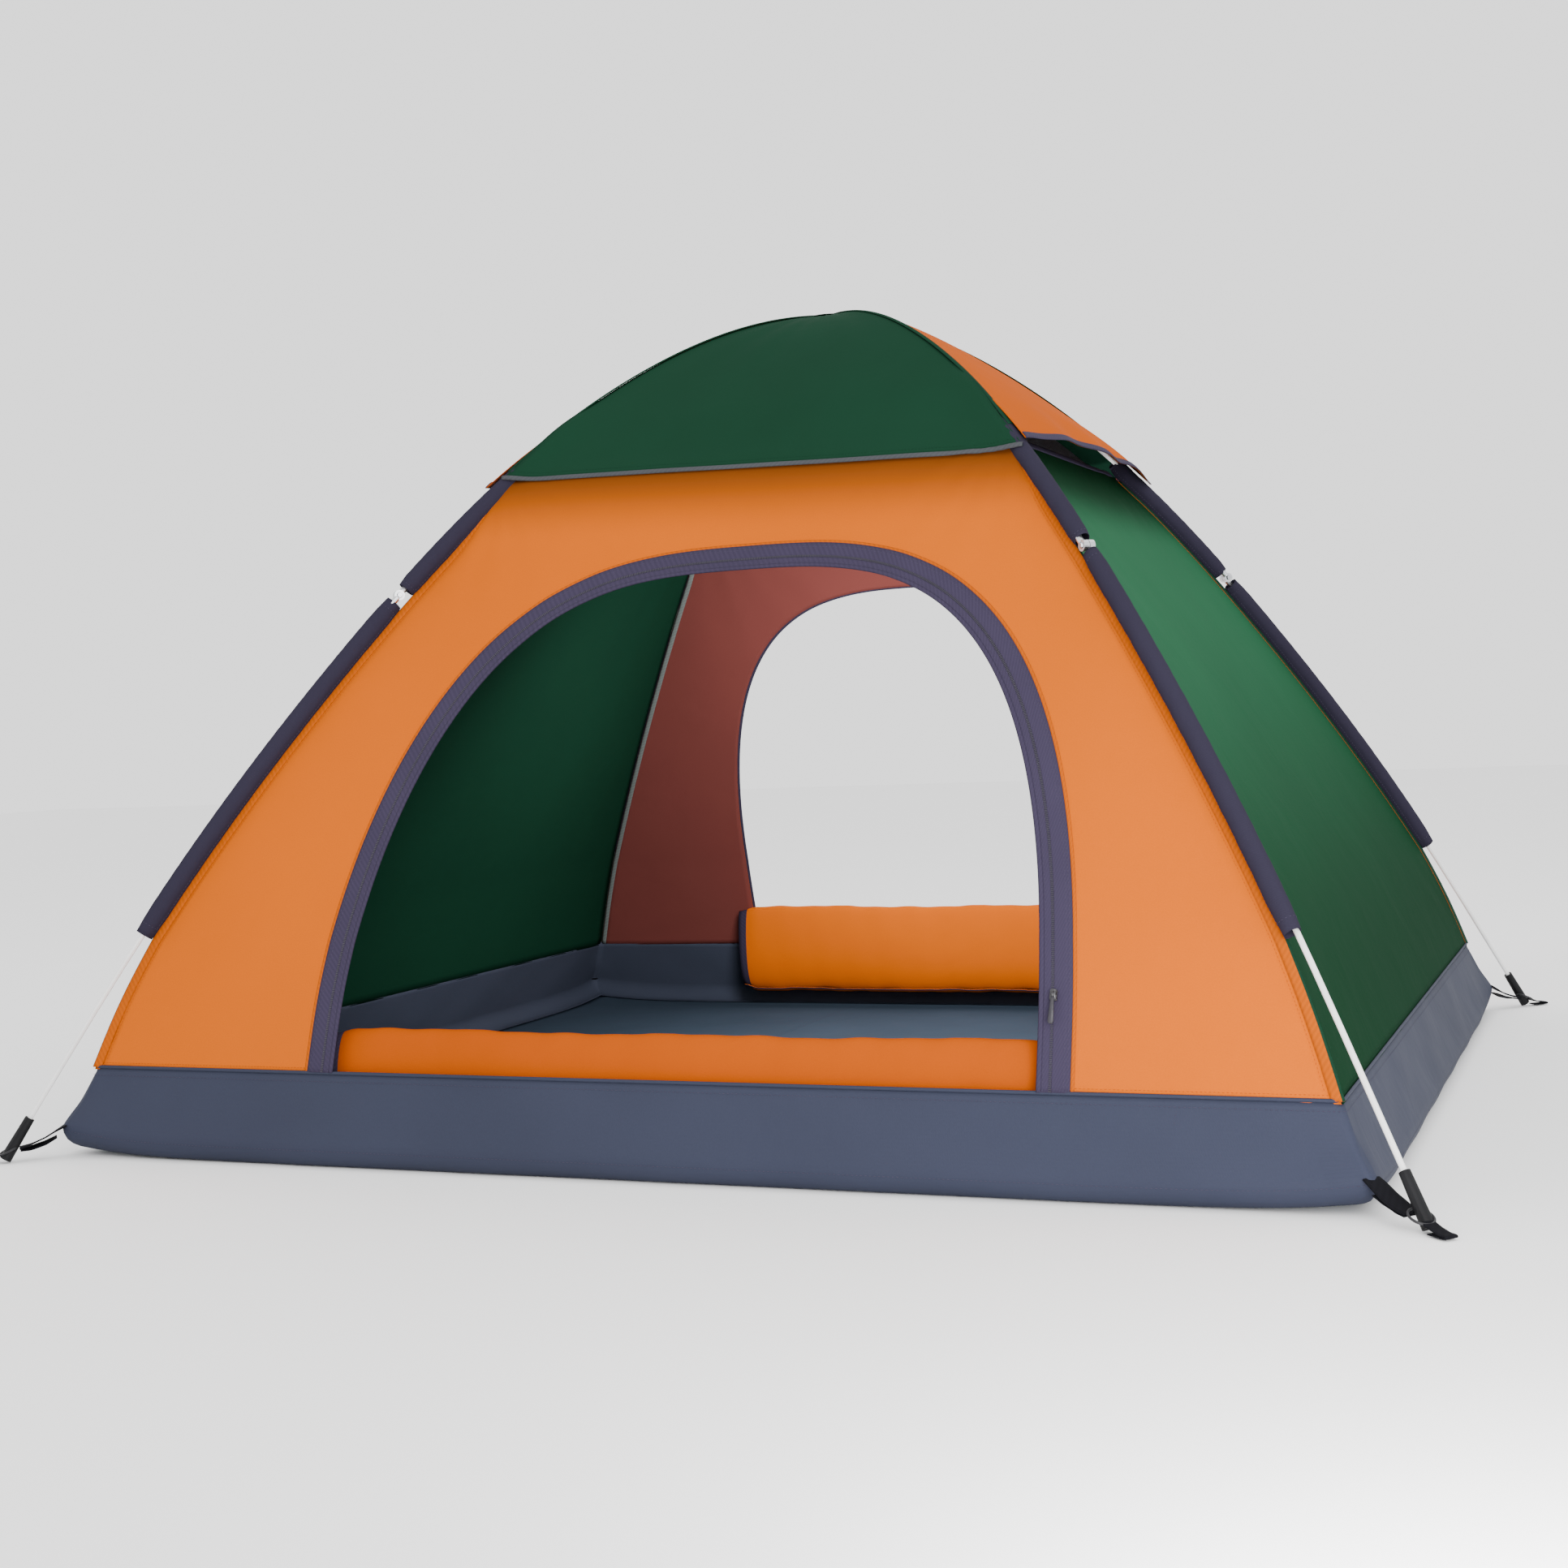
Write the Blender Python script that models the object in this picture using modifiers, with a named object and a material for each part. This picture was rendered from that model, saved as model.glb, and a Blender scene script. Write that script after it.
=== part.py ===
"""Dome tent on a folding frame: a centre hub, four ribs that each fold at an elbow, a fabric
canopy with two arched doors, two vent hoods and a tub floor.

Metres, +Z up. The origin is on the ground under the hub, the front door faces -Y.
"""

import math

import bmesh
import bpy
import numpy as np
from mathutils import Matrix, Vector

# ------------------------------------------------------------------ driving dimensions
FOOT_X = 1.000          # half the spacing of the rib feet, left to right
FOOT_Y = 0.900          # half the spacing of the rib feet, front to back
REACH = math.hypot(FOOT_X, FOOT_Y)

# Height of the rib axis at each share of the way from the hub to the foot
RIB_SHARE = (0.0, 0.22, 0.42, 0.62, 0.82, 1.0)
RIB_HEIGHT = (1.246, 1.163, 0.976, 0.702, 0.366, 0.0035)

ROD_R = 0.00375         # glass-fibre rod
LAP = 0.0055            # the two rods of a rib pass each other, each this far off its plane

HUB_R = 0.045
HUB_DOWN = 0.014        # hub body below and above the wire's plane
HUB_UP = 0.003
RING_R = 0.035          # wire ring that the four rib eyes hang on
WIRE_R = 0.0013
HINGE_R = 0.0345        # rib hinge, out from the middle of the hub
SLOT_W = 0.0092

ELBOW_SHARE = 0.544
SOCKET_R = 0.0050
SOCKET_BORE = 0.00425
SOCKET_LONG = 0.038     # from the elbow pin to the socket's mouth
LUG_R = 0.008
PIN_R = 0.0024

FERRULE_TOP_R = 0.0070
FERRULE_FOOT_R = 0.0085
FERRULE_LONG = 0.068

SLEEVE_HALF_HIGH = 0.0180
SLEEVE_HALF_WIDE = 0.0140
SLEEVE_WALL = 0.0012
SLEEVE_UPPER = (0.444, 0.531)
SLEEVE_LOWER = (0.557, 0.845)

EAVE_SHARE = 0.408      # where the front and rear panels meet the top panels
VENT_SHARE = 0.385      # top of the side panels, under the hoods
HOOD_SHARE = 0.432      # lower edge of the hoods
HOOD_STAND = 0.020      # how far the middle of a hood's edge stands off the side panel
PANEL_DEEP = 0.0192     # panel ridges lie this far inside the rib axis
CAP_OVER = 0.0124       # top panels lie this far outside the rib axis

TUB_TOP_SHARE = 0.902
TUB_FOOT_SHARE = 0.943
TUB_FLOOR_SHARE = 0.928  # the wall turns under to the floor
TUB_TURN = 0.020
TUB_HIGH = 0.128
FABRIC = 0.0014

DOOR_HALF_WIDE = 0.553
DOOR_TOP = {"front": 0.853, "rear": 0.868}
BAND_WIDE = 0.042
DOOR_SHIFT = {"front": 0.026, "rear": -0.012}

ROLL_HIGH = {"front": 0.153, "rear": 0.178}
ROLL_THICK = 0.066

GAP = 0.0004            # clearance between pieces that touch

LEGS = {"FR": (1, -1), "RR": (1, 1), "RL": (-1, 1), "FL": (-1, -1)}

# ------------------------------------------------------------------ scene
for old in list(bpy.data.objects):
    bpy.data.objects.remove(old, do_unlink=True)
TENT = bpy.data.collections.new("dome_tent")
CUTTERS = bpy.data.collections.new("cutters")
bpy.context.scene.collection.children.link(TENT)
bpy.context.scene.collection.children.link(CUTTERS)


def material(name, colour, rough, metal=0.0):
    m = bpy.data.materials.new(name)
    m.use_nodes = True
    b = m.node_tree.nodes["Principled BSDF"]
    b.inputs["Base Color"].default_value = (*colour, 1.0)
    b.inputs["Roughness"].default_value = rough
    b.inputs["Metallic"].default_value = metal
    m.diffuse_color = (*colour, 1.0)
    return m


ORANGE = (0.95, 0.25, 0.03)
GREEN = (0.02, 0.09, 0.04)
SIDE_GREEN = (0.03, 0.16, 0.07)
BINDING = (0.075, 0.065, 0.10)
TUB = (0.07, 0.085, 0.11)
FLOOR = (0.03, 0.05, 0.065)
MESH = (0.05, 0.05, 0.06)
WHITE = (0.85, 0.85, 0.84)
BLACK = (0.012, 0.012, 0.014)
STEEL = (0.60, 0.61, 0.63)

# ------------------------------------------------------------------ rib curve


def spline_bends(xs, ys):
    """Second derivatives of the cubic spline that is level at its start and free at its end."""
    n = len(xs)
    a, b = np.zeros((n, n)), np.zeros(n)
    a[0, 0], a[0, 1] = 2 * (xs[1] - xs[0]), xs[1] - xs[0]
    b[0] = 6 * (ys[1] - ys[0]) / (xs[1] - xs[0])
    for i in range(1, n - 1):
        h0, h1 = xs[i] - xs[i - 1], xs[i + 1] - xs[i]
        a[i, i - 1], a[i, i], a[i, i + 1] = h0, 2 * (h0 + h1), h1
        b[i] = 6 * ((ys[i + 1] - ys[i]) / h1 - (ys[i] - ys[i - 1]) / h0)
    a[n - 1, n - 1] = 1
    return np.linalg.solve(a, b)


BENDS = spline_bends(RIB_SHARE, RIB_HEIGHT)


def rod_z(s):
    i = min(len(RIB_SHARE) - 2, max(0, int(np.searchsorted(RIB_SHARE, s)) - 1))
    x0, x1 = RIB_SHARE[i], RIB_SHARE[i + 1]
    h, u, w = x1 - x0, x1 - s, s - x0
    return (
        BENDS[i] * u**3 / (6 * h)
        + BENDS[i + 1] * w**3 / (6 * h)
        + (RIB_HEIGHT[i] / h - BENDS[i] * h / 6) * u
        + (RIB_HEIGHT[i + 1] / h - BENDS[i + 1] * h / 6) * w
    )


def rod(s, out=0.0):
    """(distance from the hub's axis, height) of the rib axis, moved outward along its normal."""
    e = 1e-4
    dr, dz = 2 * e * REACH, rod_z(s + e) - rod_z(s - e)
    d = math.hypot(dr, dz)
    return np.array((s * REACH - dz / d * out, rod_z(s) + dr / d * out))


def smooth(x, a, b):
    t = min(1.0, max(0.0, (x - a) / (b - a)))
    return t * t * (3 - 2 * t)


# ------------------------------------------------------------------ making objects


def new_object(name, mesh, mat, parent=None, collection=TENT):
    o = bpy.data.objects.new(name, mesh)
    collection.objects.link(o)
    if mat is not None:
        mesh.materials.clear()
        mesh.materials.append(mat)
    if parent is not None:
        o.parent = parent
    return o


def mesh_of(bm, name):
    bmesh.ops.recalc_face_normals(bm, faces=bm.faces)
    m = bpy.data.meshes.new(name)
    bm.to_mesh(m)
    bm.free()
    return m


def empty(name, place, turn=0.0, parent=None):
    e = bpy.data.objects.new(name, None)
    TENT.objects.link(e)
    e.empty_display_size = 0.03
    e.location = place
    e.rotation_euler = (0, 0, turn)
    if parent is not None:
        e.parent = parent
    return e


def solidify(o, thick, offset=0.0):
    m = o.modifiers.new("thickness", "SOLIDIFY")
    m.thickness = thick
    m.offset = offset
    m.use_even_offset = True
    return o


def grid_mesh(name, rows, close=False):
    """An open sheet through rows of points; close joins the last column to the first."""
    bm = bmesh.new()
    vs = [[bm.verts.new(p) for p in row] for row in rows]
    n = len(rows[0])
    for a, b in zip(vs[:-1], vs[1:]):
        for j in range(n if close else n - 1):
            k = (j + 1) % n
            bm.faces.new((a[j], b[j], b[k], a[k]))
    m = bpy.data.meshes.new(name)
    bm.to_mesh(m)
    bm.free()
    return m


def out_facing(mesh, centre):
    """Turns an open sheet's faces away from a point inside the tent."""
    bm = bmesh.new()
    bm.from_mesh(mesh)
    side = sum((f.calc_center_median() - Vector(centre)).dot(f.normal) * f.calc_area() for f in bm.faces)
    if side < 0:
        bmesh.ops.reverse_faces(bm, faces=bm.faces)
    bm.to_mesh(mesh)
    bm.free()
    return mesh


def sheet(name, rows, mat, thick=FABRIC, centre=(0, 0, 0.5), close=False, offset=0.0):
    o = new_object(name, out_facing(grid_mesh(name, rows, close), centre), mat)
    for p in o.data.polygons:
        p.use_smooth = True
    return solidify(o, thick, offset)


def box_mesh(name, lo, hi):
    bm = bmesh.new()
    bmesh.ops.create_cube(bm, size=1.0)
    lo, hi = Vector(lo), Vector(hi)
    for v in bm.verts:
        v.co = Vector([(lo[k] + hi[k]) / 2 + v.co[k] * (hi[k] - lo[k]) for k in range(3)])
    return mesh_of(bm, name)


def cylinder_mesh(name, r0, r1, a, b, sides=16):
    """A cylinder or cone from point a (radius r0) to point b (radius r1)."""
    a, b = Vector(a), Vector(b)
    bm = bmesh.new()
    bmesh.ops.create_cone(
        bm, cap_ends=True, segments=sides, radius1=r0, radius2=r1, depth=(b - a).length
    )
    turn = (b - a).to_track_quat("Z", "Y").to_matrix().to_4x4()
    bmesh.ops.transform(bm, matrix=Matrix.Translation((a + b) / 2) @ turn, verts=bm.verts)
    return mesh_of(bm, name)


def boolean(o, kind, mesh):
    """Applies a Boolean with the exact solver; the cutter is removed afterwards."""
    c = new_object(o.name + "_cutter", mesh, None, collection=CUTTERS)
    c.hide_render = True
    c.display_type = "WIRE"
    m = o.modifiers.new("cut", "BOOLEAN")
    m.operation = kind
    m.solver = "EXACT"
    m.object = c
    bpy.context.view_layer.update()
    done = bpy.data.meshes.new_from_object(o.evaluated_get(bpy.context.evaluated_depsgraph_get()))
    o.modifiers.remove(m)
    mats = list(o.data.materials)
    o.data = done
    done.materials.clear()
    for k in mats:
        done.materials.append(k)
    bpy.data.objects.remove(c, do_unlink=True)
    return o


def tube_mesh(name, points, radius, resolution=2):
    """A round rod along the points, as a curve with filled ends made into a welded mesh."""
    c = bpy.data.curves.new(name, "CURVE")
    c.dimensions = "3D"
    c.bevel_depth = radius
    c.bevel_resolution = resolution
    c.use_fill_caps = True
    s = c.splines.new("POLY")
    s.points.add(len(points) - 1)
    for q, p in zip(s.points, points):
        q.co = (*p, 1.0)
    o = bpy.data.objects.new(name + "_curve", c)
    TENT.objects.link(o)
    bpy.context.view_layer.update()
    m = bpy.data.meshes.new_from_object(o.evaluated_get(bpy.context.evaluated_depsgraph_get()))
    bm = bmesh.new()
    bm.from_mesh(m)
    bmesh.ops.remove_doubles(bm, verts=bm.verts, dist=0.00005)
    bmesh.ops.recalc_face_normals(bm, faces=bm.faces)
    bm.to_mesh(m)
    bm.free()
    bpy.data.objects.remove(o, do_unlink=True)
    m.shade_smooth()
    return m


# ------------------------------------------------------------------ canopy surface


def wall_profile(start):
    """Ridge of a wall panel as (distance from the hub's axis, height), from its top down to the
    top of the tub. Past the sleeve's end it leaves the rib and runs to the tub's corner."""
    points = []
    for s in np.linspace(start, SLEEVE_LOWER[1], 40):
        deep = PANEL_DEEP
        if start == EAVE_SHARE:
            deep = -0.0035 + (PANEL_DEEP + 0.0035) * smooth(s, EAVE_SHARE, 0.50)
        points.append(rod(s, -deep))
    last, corner = points[-1], np.array((TUB_TOP_SHARE * REACH, TUB_HIGH))
    for t in np.linspace(0, 1, 10)[1:]:
        bow = 0.004 * math.sin(math.pi * t)
        points.append(last + (corner - last) * t + bow * np.array((0.85, 0.53)))
    return np.array(points)


def top_profile(edge_out, end):
    """Ridge of a top panel, from near the peak down to its lower edge."""
    return np.array(
        [
            rod(s, CAP_OVER + (edge_out - CAP_OVER) * smooth(s, 0.32, end))
            for s in np.linspace(0.006, end, 30)
        ]
    )


class Wall:
    """A panel between two ribs, straight from rib to rib, measured along its slope from its top."""

    def __init__(self, side, profile, inset):
        self.side = side
        along, across = (FOOT_X, FOOT_Y) if side in ("front", "rear") else (FOOT_Y, FOOT_X)
        self.depth = profile[:, 0] * across / REACH
        self.half = profile[:, 0] * along / REACH
        self.z = profile[:, 1]
        self.run = np.concatenate([[0], np.cumsum(np.hypot(np.diff(self.depth), np.diff(self.z)))])
        self.inset = inset

    def half_at(self, run):
        return float(np.interp(run, self.run, self.half))

    def run_at(self, z):
        return float(np.interp(-z, -self.z, self.run))

    def point(self, x, run, lift=0.0):
        d, z = (float(np.interp(run, self.run, a)) for a in (self.depth, self.z))
        if lift:
            e = 0.01
            d0, d1 = (float(np.interp(run + k, self.run, self.depth)) for k in (-e, e))
            z0, z1 = (float(np.interp(run + k, self.run, self.z)) for k in (-e, e))
            n = math.hypot(d1 - d0, z1 - z0)
            d, z = d - (z1 - z0) / n * lift, z + (d1 - d0) / n * lift
        return {
            "front": (x, -d, z),
            "rear": (-x, d, z),
            "right": (d, x, z),
            "left": (-d, -x, z),
        }[self.side]


def edge_inset(wall, run):
    """How far a panel's edge stops short of the ridge: more where the rod passes through."""
    s = wall.half_at(run) / (FOOT_X if wall.side in ("front", "rear") else FOOT_Y)
    return 0.0012 + wall.inset * smooth(s, 0.31, 0.34) * (1 - smooth(s, 0.475, 0.50))


def panel_rows(wall, start, end, rows, columns, bulge=None):
    out = []
    for i in range(rows + 1):
        run = start + (end - start) * i / rows
        half = wall.half_at(run) - edge_inset(wall, run)
        row = []
        for j in range(columns + 1):
            t = -1 + 2 * j / columns
            lift = bulge(i / rows, t) if bulge else 0.0
            row.append(wall.point(half * t, run, lift))
        out.append(row)
    return out


# ------------------------------------------------------------------ doors


def door_edge(wall, shift, inset, count):
    """The arch in (x, run) on the panel, from its left foot over the top to its right foot."""
    foot_run = wall.run[-1]
    fine = []
    for phi in np.linspace(0, math.pi, 400):
        c = math.cos(phi)
        w = DOOR_HALF_WIDE * math.copysign(abs(c) ** 0.69, -c)
        z = TUB_HIGH + (DOOR_TOP[wall.side] - TUB_HIGH) * math.sin(phi) ** 0.8 if 0 < phi < math.pi else TUB_HIGH
        fine.append((w, wall.run_at(max(z, TUB_HIGH))))
    fine = np.array(fine)
    if inset:
        t = np.gradient(fine, axis=0)
        t /= np.linalg.norm(t, axis=1)[:, None]
        normal = np.stack([-t[:, 1], t[:, 0]], axis=1)
        fine = fine + normal * inset
        keep = fine[:, 1] < foot_run
        fine = fine[keep]
        fine = np.vstack([(fine[0, 0], foot_run), fine, (fine[-1, 0], foot_run)])
    length = np.concatenate([[0], np.cumsum(np.linalg.norm(np.diff(fine, axis=0), axis=1))])
    at = np.linspace(0, length[-1], count)
    out = np.stack([np.interp(at, length, fine[:, k]) for k in (0, 1)], axis=1)
    out[:, 0] += shift if wall.side == "front" else -shift
    return out


def outer_edge(wall, inner, count):
    """The panel's own border, left side up, along the eave and down the right side."""
    foot, turn = wall.run[-1], int(count * 0.36)
    pts = []
    for i in range(count):
        if i <= turn:
            run = foot * (1 - i / turn)
            pts.append((-(wall.half_at(run) - edge_inset(wall, run)), run))
        elif i >= count - 1 - turn:
            run = foot * (1 - (count - 1 - i) / turn)
            pts.append((wall.half_at(run) - edge_inset(wall, run), run))
        else:
            half = wall.half_at(0) - edge_inset(wall, 0)
            t = (i - turn) / (count - 1 - 2 * turn)
            pts.append((half * (2 * t - 1), 0.0))
    return np.array(pts)


def door_panel(side, mat, band_mat):
    wall = Wall(side, wall_profile(EAVE_SHARE), 0.024)
    n = 37
    shift = DOOR_SHIFT[side]
    edge = door_edge(wall, shift, -0.0006, n)
    border = outer_edge(wall, edge, n)
    rows = []
    for k in range(5):
        t = k / 4
        rows.append([wall.point(*(b * (1 - t) + e * t)) for b, e in zip(border, edge)])
    sheet(side + "_panel", rows, mat)
    outer, inner = door_edge(wall, shift, 0.0006, n), door_edge(wall, shift, BAND_WIDE, n)
    rows = [[wall.point(*p, 0.0006) for p in outer], [wall.point(*p, 0.0006) for p in inner]]
    sheet(side + "_door_binding", rows, band_mat, thick=0.0026)
    return wall


M_FRONT = material("orange_front", ORANGE, 0.62)
M_REAR = material("orange_rear", ORANGE, 0.62)
front_wall = door_panel("front", M_FRONT, material("front_binding", BINDING, 0.7))
rear_wall = door_panel("rear", M_REAR, material("rear_binding", BINDING, 0.7))

for side in ("left", "right"):
    wall = Wall(side, wall_profile(VENT_SHARE), 0.0)
    sheet(side + "_panel", panel_rows(wall, 0, wall.run[-1], 9, 4), material(side + "_green", SIDE_GREEN, 0.6))

for side in ("front", "rear"):
    wall = Wall(side, top_profile(0.0045, EAVE_SHARE - 0.002), 0.024)
    sheet(
        "top_panel_" + side,
        panel_rows(wall, 0, wall.run[-1], 8, 4),
        material("top_green_" + side, GREEN, 0.6),
    )


def hood_bulge(t, w):
    return HOOD_STAND * smooth(t, 0.55, 1.0) * (1 - w * w) ** 0.8


for side in ("left", "right"):
    wall = Wall(side, top_profile(0.0175, HOOD_SHARE), 0.0)
    sheet(
        "vent_hood_" + side,
        panel_rows(wall, 0, wall.run[-1], 9, 6, hood_bulge),
        material("hood_orange_" + side, ORANGE, 0.6),
    )

# ------------------------------------------------------------------ inner mesh roof
MESH_DEEP = 0.034
MESH_FLAT = 0.10
rows = []
for s in np.linspace(0.376, MESH_FLAT, 6):
    r, z = rod(s, -MESH_DEEP)
    z = min(z, rod_z(MESH_FLAT) - MESH_DEEP - 0.008)
    x, y = r * FOOT_X / REACH, r * FOOT_Y / REACH
    rows.append(
        [(x * (2 * i / 4 - 1), -y, z) for i in range(4)]
        + [(x, y * (2 * i / 4 - 1), z) for i in range(4)]
        + [(x * (1 - 2 * i / 4), y, z) for i in range(4)]
        + [(-x, y * (1 - 2 * i / 4), z) for i in range(4)]
    )
roof = grid_mesh("roof_mesh", rows, close=True)
bm = bmesh.new()
bm.from_mesh(roof)
bm.edges.ensure_lookup_table()
rim = [e for e in bm.edges if e.is_boundary and min(v.co.z for v in e.verts) > 1.10]
bmesh.ops.contextual_create(bm, geom=rim)
bm.to_mesh(roof)
bm.free()
solidify(new_object("roof_mesh", out_facing(roof, (0, 0, 0.4)), material("mesh_grey", MESH, 0.9)), 0.0010)

# ------------------------------------------------------------------ tub floor
fx, fy = TUB_FLOOR_SHARE * FOOT_X, TUB_FLOOR_SHARE * FOOT_Y
wx, wy = TUB_FOOT_SHARE * FOOT_X, TUB_FOOT_SHARE * FOOT_Y
tx, ty = TUB_TOP_SHARE * FOOT_X, TUB_TOP_SHARE * FOOT_Y
top_z = TUB_HIGH - 0.0016


def ring_rows(levels, parts=6):
    out = []
    for x, y, z in levels:
        out.append(
            [(x * (2 * i / parts - 1), -y, z) for i in range(parts)]
            + [(x, y * (2 * i / parts - 1), z) for i in range(parts)]
            + [(x * (1 - 2 * i / parts), y, z) for i in range(parts)]
            + [(-x, y * (1 - 2 * i / parts), z) for i in range(parts)]
        )
    return out


sheet(
    "tub_wall",
    ring_rows([(fx, fy, 0.0010), (wx, wy, TUB_TURN), ((wx + tx) / 2, (wy + ty) / 2, (TUB_TURN + top_z) / 2), (tx, ty, top_z)]),
    material("tub_grey", TUB, 0.55),
    thick=0.0016,
    close=True,
)
inner = 0.0030
floor_mesh = box_mesh("groundsheet", (-(fx - inner), -(fy - inner), 0.0), (fx - inner, fy - inner, 0.0016))
new_object("groundsheet", floor_mesh, material("floor_grey", FLOOR, 0.6))

# ------------------------------------------------------------------ door flaps rolled at the sills


def roll_section(high, count=18):
    """The flap hangs over the sill as a soft bundle, fuller at its foot."""
    out = []
    for i in range(count):
        a = 2 * math.pi * i / count
        z = math.sin(a)
        fat = 0.5 * ROLL_THICK * (1 - 0.28 * z)
        out.append((fat * math.cos(a), 0.5 * high * z))
    return out


for side, sign in (("front", -1), ("rear", 1)):
    centre_z = 0.034 + 0.5 * ROLL_HIGH[side]
    sill = ty - 0.5 * ROLL_THICK - 0.0135
    half = DOOR_HALF_WIDE - 0.020
    bm = bmesh.new()
    loops = []
    ends = ((-half, 0.72), (-half + 0.012, 0.96), (half - 0.012, 0.96), (half, 0.72))
    for x, size in ends:
        loops.append(
            [
                bm.verts.new((x + DOOR_SHIFT[side], sign * (sill - d * size), centre_z + z * size))
                for d, z in roll_section(ROLL_HIGH[side])
            ]
        )
    for a, b in zip(loops[:-1], loops[1:]):
        for j in range(len(a)):
            k = (j + 1) % len(a)
            bm.faces.new((a[j], b[j], b[k], a[k]))
    bm.faces.new(loops[0])
    bm.faces.new(list(reversed(loops[-1])))
    roll = mesh_of(bm, side + "_door_roll")
    roll.shade_smooth()
    new_object(side + "_door_roll", roll, material(side + "_roll_orange", ORANGE, 0.62))

# ------------------------------------------------------------------ hub
hub_z = rod_z(HINGE_R / REACH)
hub_axis = empty("hub_axis", (0, 0, hub_z))
AZIMUTH = {k: math.atan2(sy * FOOT_Y, sx * FOOT_X) for k, (sx, sy) in LEGS.items()}


def slots(o, low, high, inner):
    """Cuts the four slots that the rib eyes swing in."""
    for azimuth in AZIMUTH.values():
        m = box_mesh("slot", (inner, -LAP - SLOT_W / 2, low), (HUB_R + 0.02, -LAP + SLOT_W / 2, high))
        m.transform(Matrix.Rotation(azimuth, 4, "Z"))
        boolean(o, "DIFFERENCE", m)
    return o


hub = new_object(
    "hub_body",
    cylinder_mesh("hub_body", HUB_R - 0.004, HUB_R, (0, 0, -HUB_DOWN), (0, 0, HUB_UP), 32),
    material("hub_black", BLACK, 0.45),
    hub_axis,
)
groove = bmesh.new()
depth = WIRE_R + 0.0006
section = [(-0.0022, -depth), (0.0022, -depth), (0.0022, HUB_UP + 0.002), (-0.0022, HUB_UP + 0.002)]
rings = [
    [
        groove.verts.new(((RING_R + a) * math.cos(t), (RING_R + a) * math.sin(t), z))
        for t in np.linspace(0, 2 * math.pi, 33)[:-1]
    ]
    for a, z in section
]
for i in range(4):
    a, b = rings[i], rings[(i + 1) % 4]
    for j in range(32):
        k = (j + 1) % 32
        groove.faces.new((a[j], b[j], b[k], a[k]))
hub.parent = None
boolean(hub, "DIFFERENCE", mesh_of(groove, "groove"))
slots(hub, -0.03, 0.03, 0.024)
hub.parent = hub_axis

cap = new_object(
    "hub_cap",
    cylinder_mesh("hub_cap", HUB_R - 0.002, HUB_R - 0.010, (0, 0, HUB_UP + GAP), (0, 0, HUB_UP + 0.0050), 32),
    material("hub_cap_black", BLACK, 0.4),
)
slots(cap, -0.01, 0.03, 0.0235)
cap.parent = hub_axis

bm = bmesh.new()
rings = []
for t in np.linspace(0, 2 * math.pi, 25)[:-1]:
    rings.append(
        [
            bm.verts.new(
                (
                    (RING_R + WIRE_R * math.cos(p)) * math.cos(t),
                    (RING_R + WIRE_R * math.cos(p)) * math.sin(t),
                    WIRE_R * math.sin(p),
                )
            )
            for p in np.linspace(0, 2 * math.pi, 9)[:-1]
        ]
    )
for i in range(24):
    a, b = rings[i], rings[(i + 1) % 24]
    for j in range(8):
        k = (j + 1) % 8
        bm.faces.new((a[j], b[j], b[k], a[k]))
wire = mesh_of(bm, "hub_ring_wire")
wire.shade_smooth()
new_object("hub_ring_wire", wire, material("wire_steel", STEEL, 0.3, 1.0), hub_axis)

# ------------------------------------------------------------------ ribs, in their own upright plane
elbow = rod(ELBOW_SHARE)
M_ROD = material("rod_white", WHITE, 0.35)
M_SOCKET = material("socket_aluminium", STEEL, 0.35, 1.0)
M_PIN = material("pin_steel", STEEL, 0.3, 1.0)
M_FOOT = material("ferrule_black", BLACK, 0.5)
M_SLEEVE = material("sleeve_purple", BINDING, 0.75)
M_STRAP = material("strap_black", BLACK, 0.8)


def share_at(distance, sign):
    """The share of the rib where it is this far from the elbow pin, toward the hub or the foot."""
    s = ELBOW_SHARE
    while np.linalg.norm(rod(s) - elbow) < distance:
        s += sign * 1e-4
    return s


def leg_points(s0, s1, count, origin, side):
    return [
        (p[0] - origin[0], side, p[1] - origin[1])
        for p in (rod(s) for s in np.linspace(s0, s1, count))
    ]


hinge = np.array((HINGE_R, hub_z))
eye_dir = rod(0.09) - hinge
eye_dir /= np.linalg.norm(eye_dir)


def upper_rib_mesh():
    m = tube_mesh(
        "upper_rib",
        leg_points(0.040, share_at(0.0135, -1), 15, hinge, -LAP),
        ROD_R,
    )
    o = new_object("eye_work", m, M_ROD)
    eye = box_mesh("eye", (-0.0062, -LAP - 0.0034, -0.0045), (0.0260, -LAP + 0.0034, 0.0045))
    eye.transform(Matrix.Rotation(-math.atan2(eye_dir[1], eye_dir[0]), 4, "Y"))
    boolean(o, "UNION", eye)
    boolean(o, "DIFFERENCE", cylinder_mesh("hole", 0.0023, 0.0023, (0, -0.02, 0), (0, 0.01, 0), 16))
    done = o.data
    bpy.data.objects.remove(o, do_unlink=True)
    return done


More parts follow.
